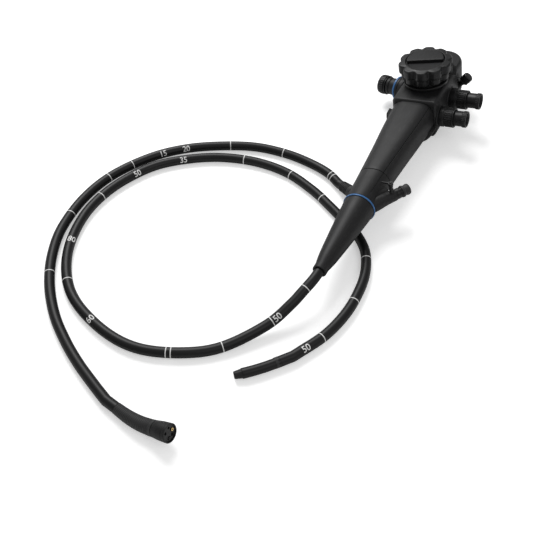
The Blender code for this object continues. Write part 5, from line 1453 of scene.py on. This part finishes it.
class ENDOSCOPE_OT_vent(bpy.types.Operator):
    """Turns the vent nipple and its cap"""

    bl_idname = "endoscope.vent"
    bl_label = "Vent"

    def execute(self, context):
        end = 12.6
        stem = [
            (0.0, end + 4.2), (2.4, end + 4.2), (2.4, end - 0.8), (3.4, end - 1.1), (3.4, end - 2.0),
            (2.6, end - 2.4), (2.6, 0.0), (0.0, 0.0),
        ]
        turned_piece("vent_stem", stem, "casing", ROOT, VENT_ROOT, VENT_HEADING, ("vent_nipple",), 0.3)
        r, length = 5.2, 8.5
        cap = [
            (0.0, length), (r - 0.8, length), (r - 0.3, length - 0.8), (r - 0.3, 2.0), (r - 1.2, 1.7),
            (r - 1.2, 1.2), (r, 0.9), (r, 0.0), (0.0, 0.0),
        ]
        at = VENT_ROOT + VENT_HEADING * end
        turned_piece("vent_lid", cap, "knob", "vent_seal", at, VENT_HEADING, ("vent_cap",), 0.3)
        knurl("vent_knurl", r - 0.3, 2.2, length - 1.0, at, VENT_HEADING, "vent_seal")
        return {"FINISHED"}


class ENDOSCOPE_OT_port(bpy.types.Operator):
    """Turns the instrument port, its cap, and the flush nozzle with its lever"""

    bl_idname = "endoscope.port"
    bl_label = "Instrument port"

    def execute(self, context):
        face = NECK_END + NECK_AXIS * CLEARANCE
        port = [
            (0.0, 9.8), (3.1, 9.8), (3.1, 5.8), (5.0, 5.8), (5.0, 4.8), (4.6, 4.5), (4.6, 3.9), (5.1, 3.6),
            (5.1, 0.9), (4.8, 0.6), (4.8, 0.0), (0.0, 0.0),
        ]
        turned_piece("instrument_port", port, "knob", ROOT, face, NECK_AXIS, ("biopsy_port",), 0.2)
        r, length = 5.6, 8.0
        cap = [
            (0.0, length - 1.2), (2.0, length - 1.2), (2.8, length - 0.2), (3.6, length),
            (r - 0.7, length), (r - 0.2, length - 1.8), (r - 0.9, 3.4), (r - 0.9, 2.6), (r, 2.1), (r, 0.0),
            (0.0, 0.0),
        ]
        at = face + NECK_AXIS * (PORT_LENGTH + CLEARANCE)
        turned_piece("port_lid", cap, "rubber", "port_cap", at, NECK_AXIS, ("biopsy_cap",), 0.5)
        nozzle = [
            (0.0, 11.7), (1.0, 11.7), (1.0, 8.5), (2.0, 8.5), (2.0, 6.6), (1.5, 6.2), (1.5, 4.8),
            (2.0, 4.4), (2.0, 1.3), (2.5, 0.9), (2.5, 0.0), (0.0, -2.0),
        ]
        turned_piece("luer_nozzle", nozzle, "knob", ROOT, NOZZLE_ROOT, (0, 0, 1), ("flush_nozzle",), 0.2)
        self.lever()
        return {"FINISHED"}

    def lever(self):
        """The flush tap's lever: a hub with a slim handle that narrows to a round end."""
        bm = bmesh.new()
        hub = [(1.3, 2.2), (2.4, 2.2), (2.4, 0.0), (1.3, 0.0)]
        revolve(bm, soften(hub, 0.3, True), Matrix.Translation(LEVER_AT), 40, True)
        rings = []
        for share, half in ((0.0, 1.1), (0.5, 0.9), (0.8, 0.8), (0.93, 0.62), (1.0, 0.15)):
            centre = LEVER_AT + Vector((-2.0 - share * 8, 0, 1.1))
            rings.append([centre + Vector((0, y, z)) for y, z in arc(half, 0.0, 1.9 * math.pi, 20)])
        loft(bm, rings)
        piece("flush_handle", bm, "knob", "flush_tap", ("flush_lever",))


class ENDOSCOPE_OT_carried(bpy.types.Operator):
    """Gives the carried-over pieces their finishes"""

    bl_idname = "endoscope.carried"
    bl_label = "Carried-over pieces"

    def execute(self, context):
        for node in frame["nodes"].values():
            if node.hide_render:
                continue
            old = node.data.materials[0].name.split(".")[0] if node.data.materials else "casing"
            name = next((known for known in FINISHES if old.startswith(known)), "casing")
            node.data.materials.clear()
            node.data.materials.append(FINISHES[name])
        return {"FINISHED"}


def register():
    for kind in CLASSES:
        bpy.utils.register_class(kind)
    bpy.types.Scene.endoscope_finishes = PointerProperty(type=EndoscopeFinishes)
    bpy.types.Scene.endoscope_sizes = PointerProperty(type=EndoscopeSizes)


def unregister():
    del bpy.types.Scene.endoscope_sizes
    del bpy.types.Scene.endoscope_finishes
    for kind in reversed(CLASSES):
        bpy.utils.unregister_class(kind)


OPERATORS = (
    ENDOSCOPE_OT_stage,
    ENDOSCOPE_OT_cords,
    ENDOSCOPE_OT_head,
    ENDOSCOPE_OT_grip,
    ENDOSCOPE_OT_knobs,
    ENDOSCOPE_OT_valves,
    ENDOSCOPE_OT_light_post,
    ENDOSCOPE_OT_vent,
    ENDOSCOPE_OT_port,
    ENDOSCOPE_OT_carried,
)


class ENDOSCOPE_PT_pieces(bpy.types.Panel):
    """Lists the steps that dress the endoscope"""

    bl_idname = "ENDOSCOPE_PT_pieces"
    bl_label = "Flexible endoscope"
    bl_space_type = "VIEW_3D"
    bl_region_type = "UI"
    bl_category = "Endoscope"

    def draw(self, context):
        for operator in OPERATORS:
            self.layout.operator(operator.bl_idname)
        for group in (context.scene.endoscope_sizes, context.scene.endoscope_finishes):
            for name in type(group).__annotations__:
                self.layout.prop(group, name)


CLASSES = (EndoscopeFinishes, EndoscopeSizes, *OPERATORS, ENDOSCOPE_PT_pieces)


def main():
    register()
    make_finishes()
    for operator in OPERATORS:
        group, step = operator.bl_idname.split(".")
        getattr(getattr(bpy.ops, group), step)()


if __name__ == "__main__":
    main()
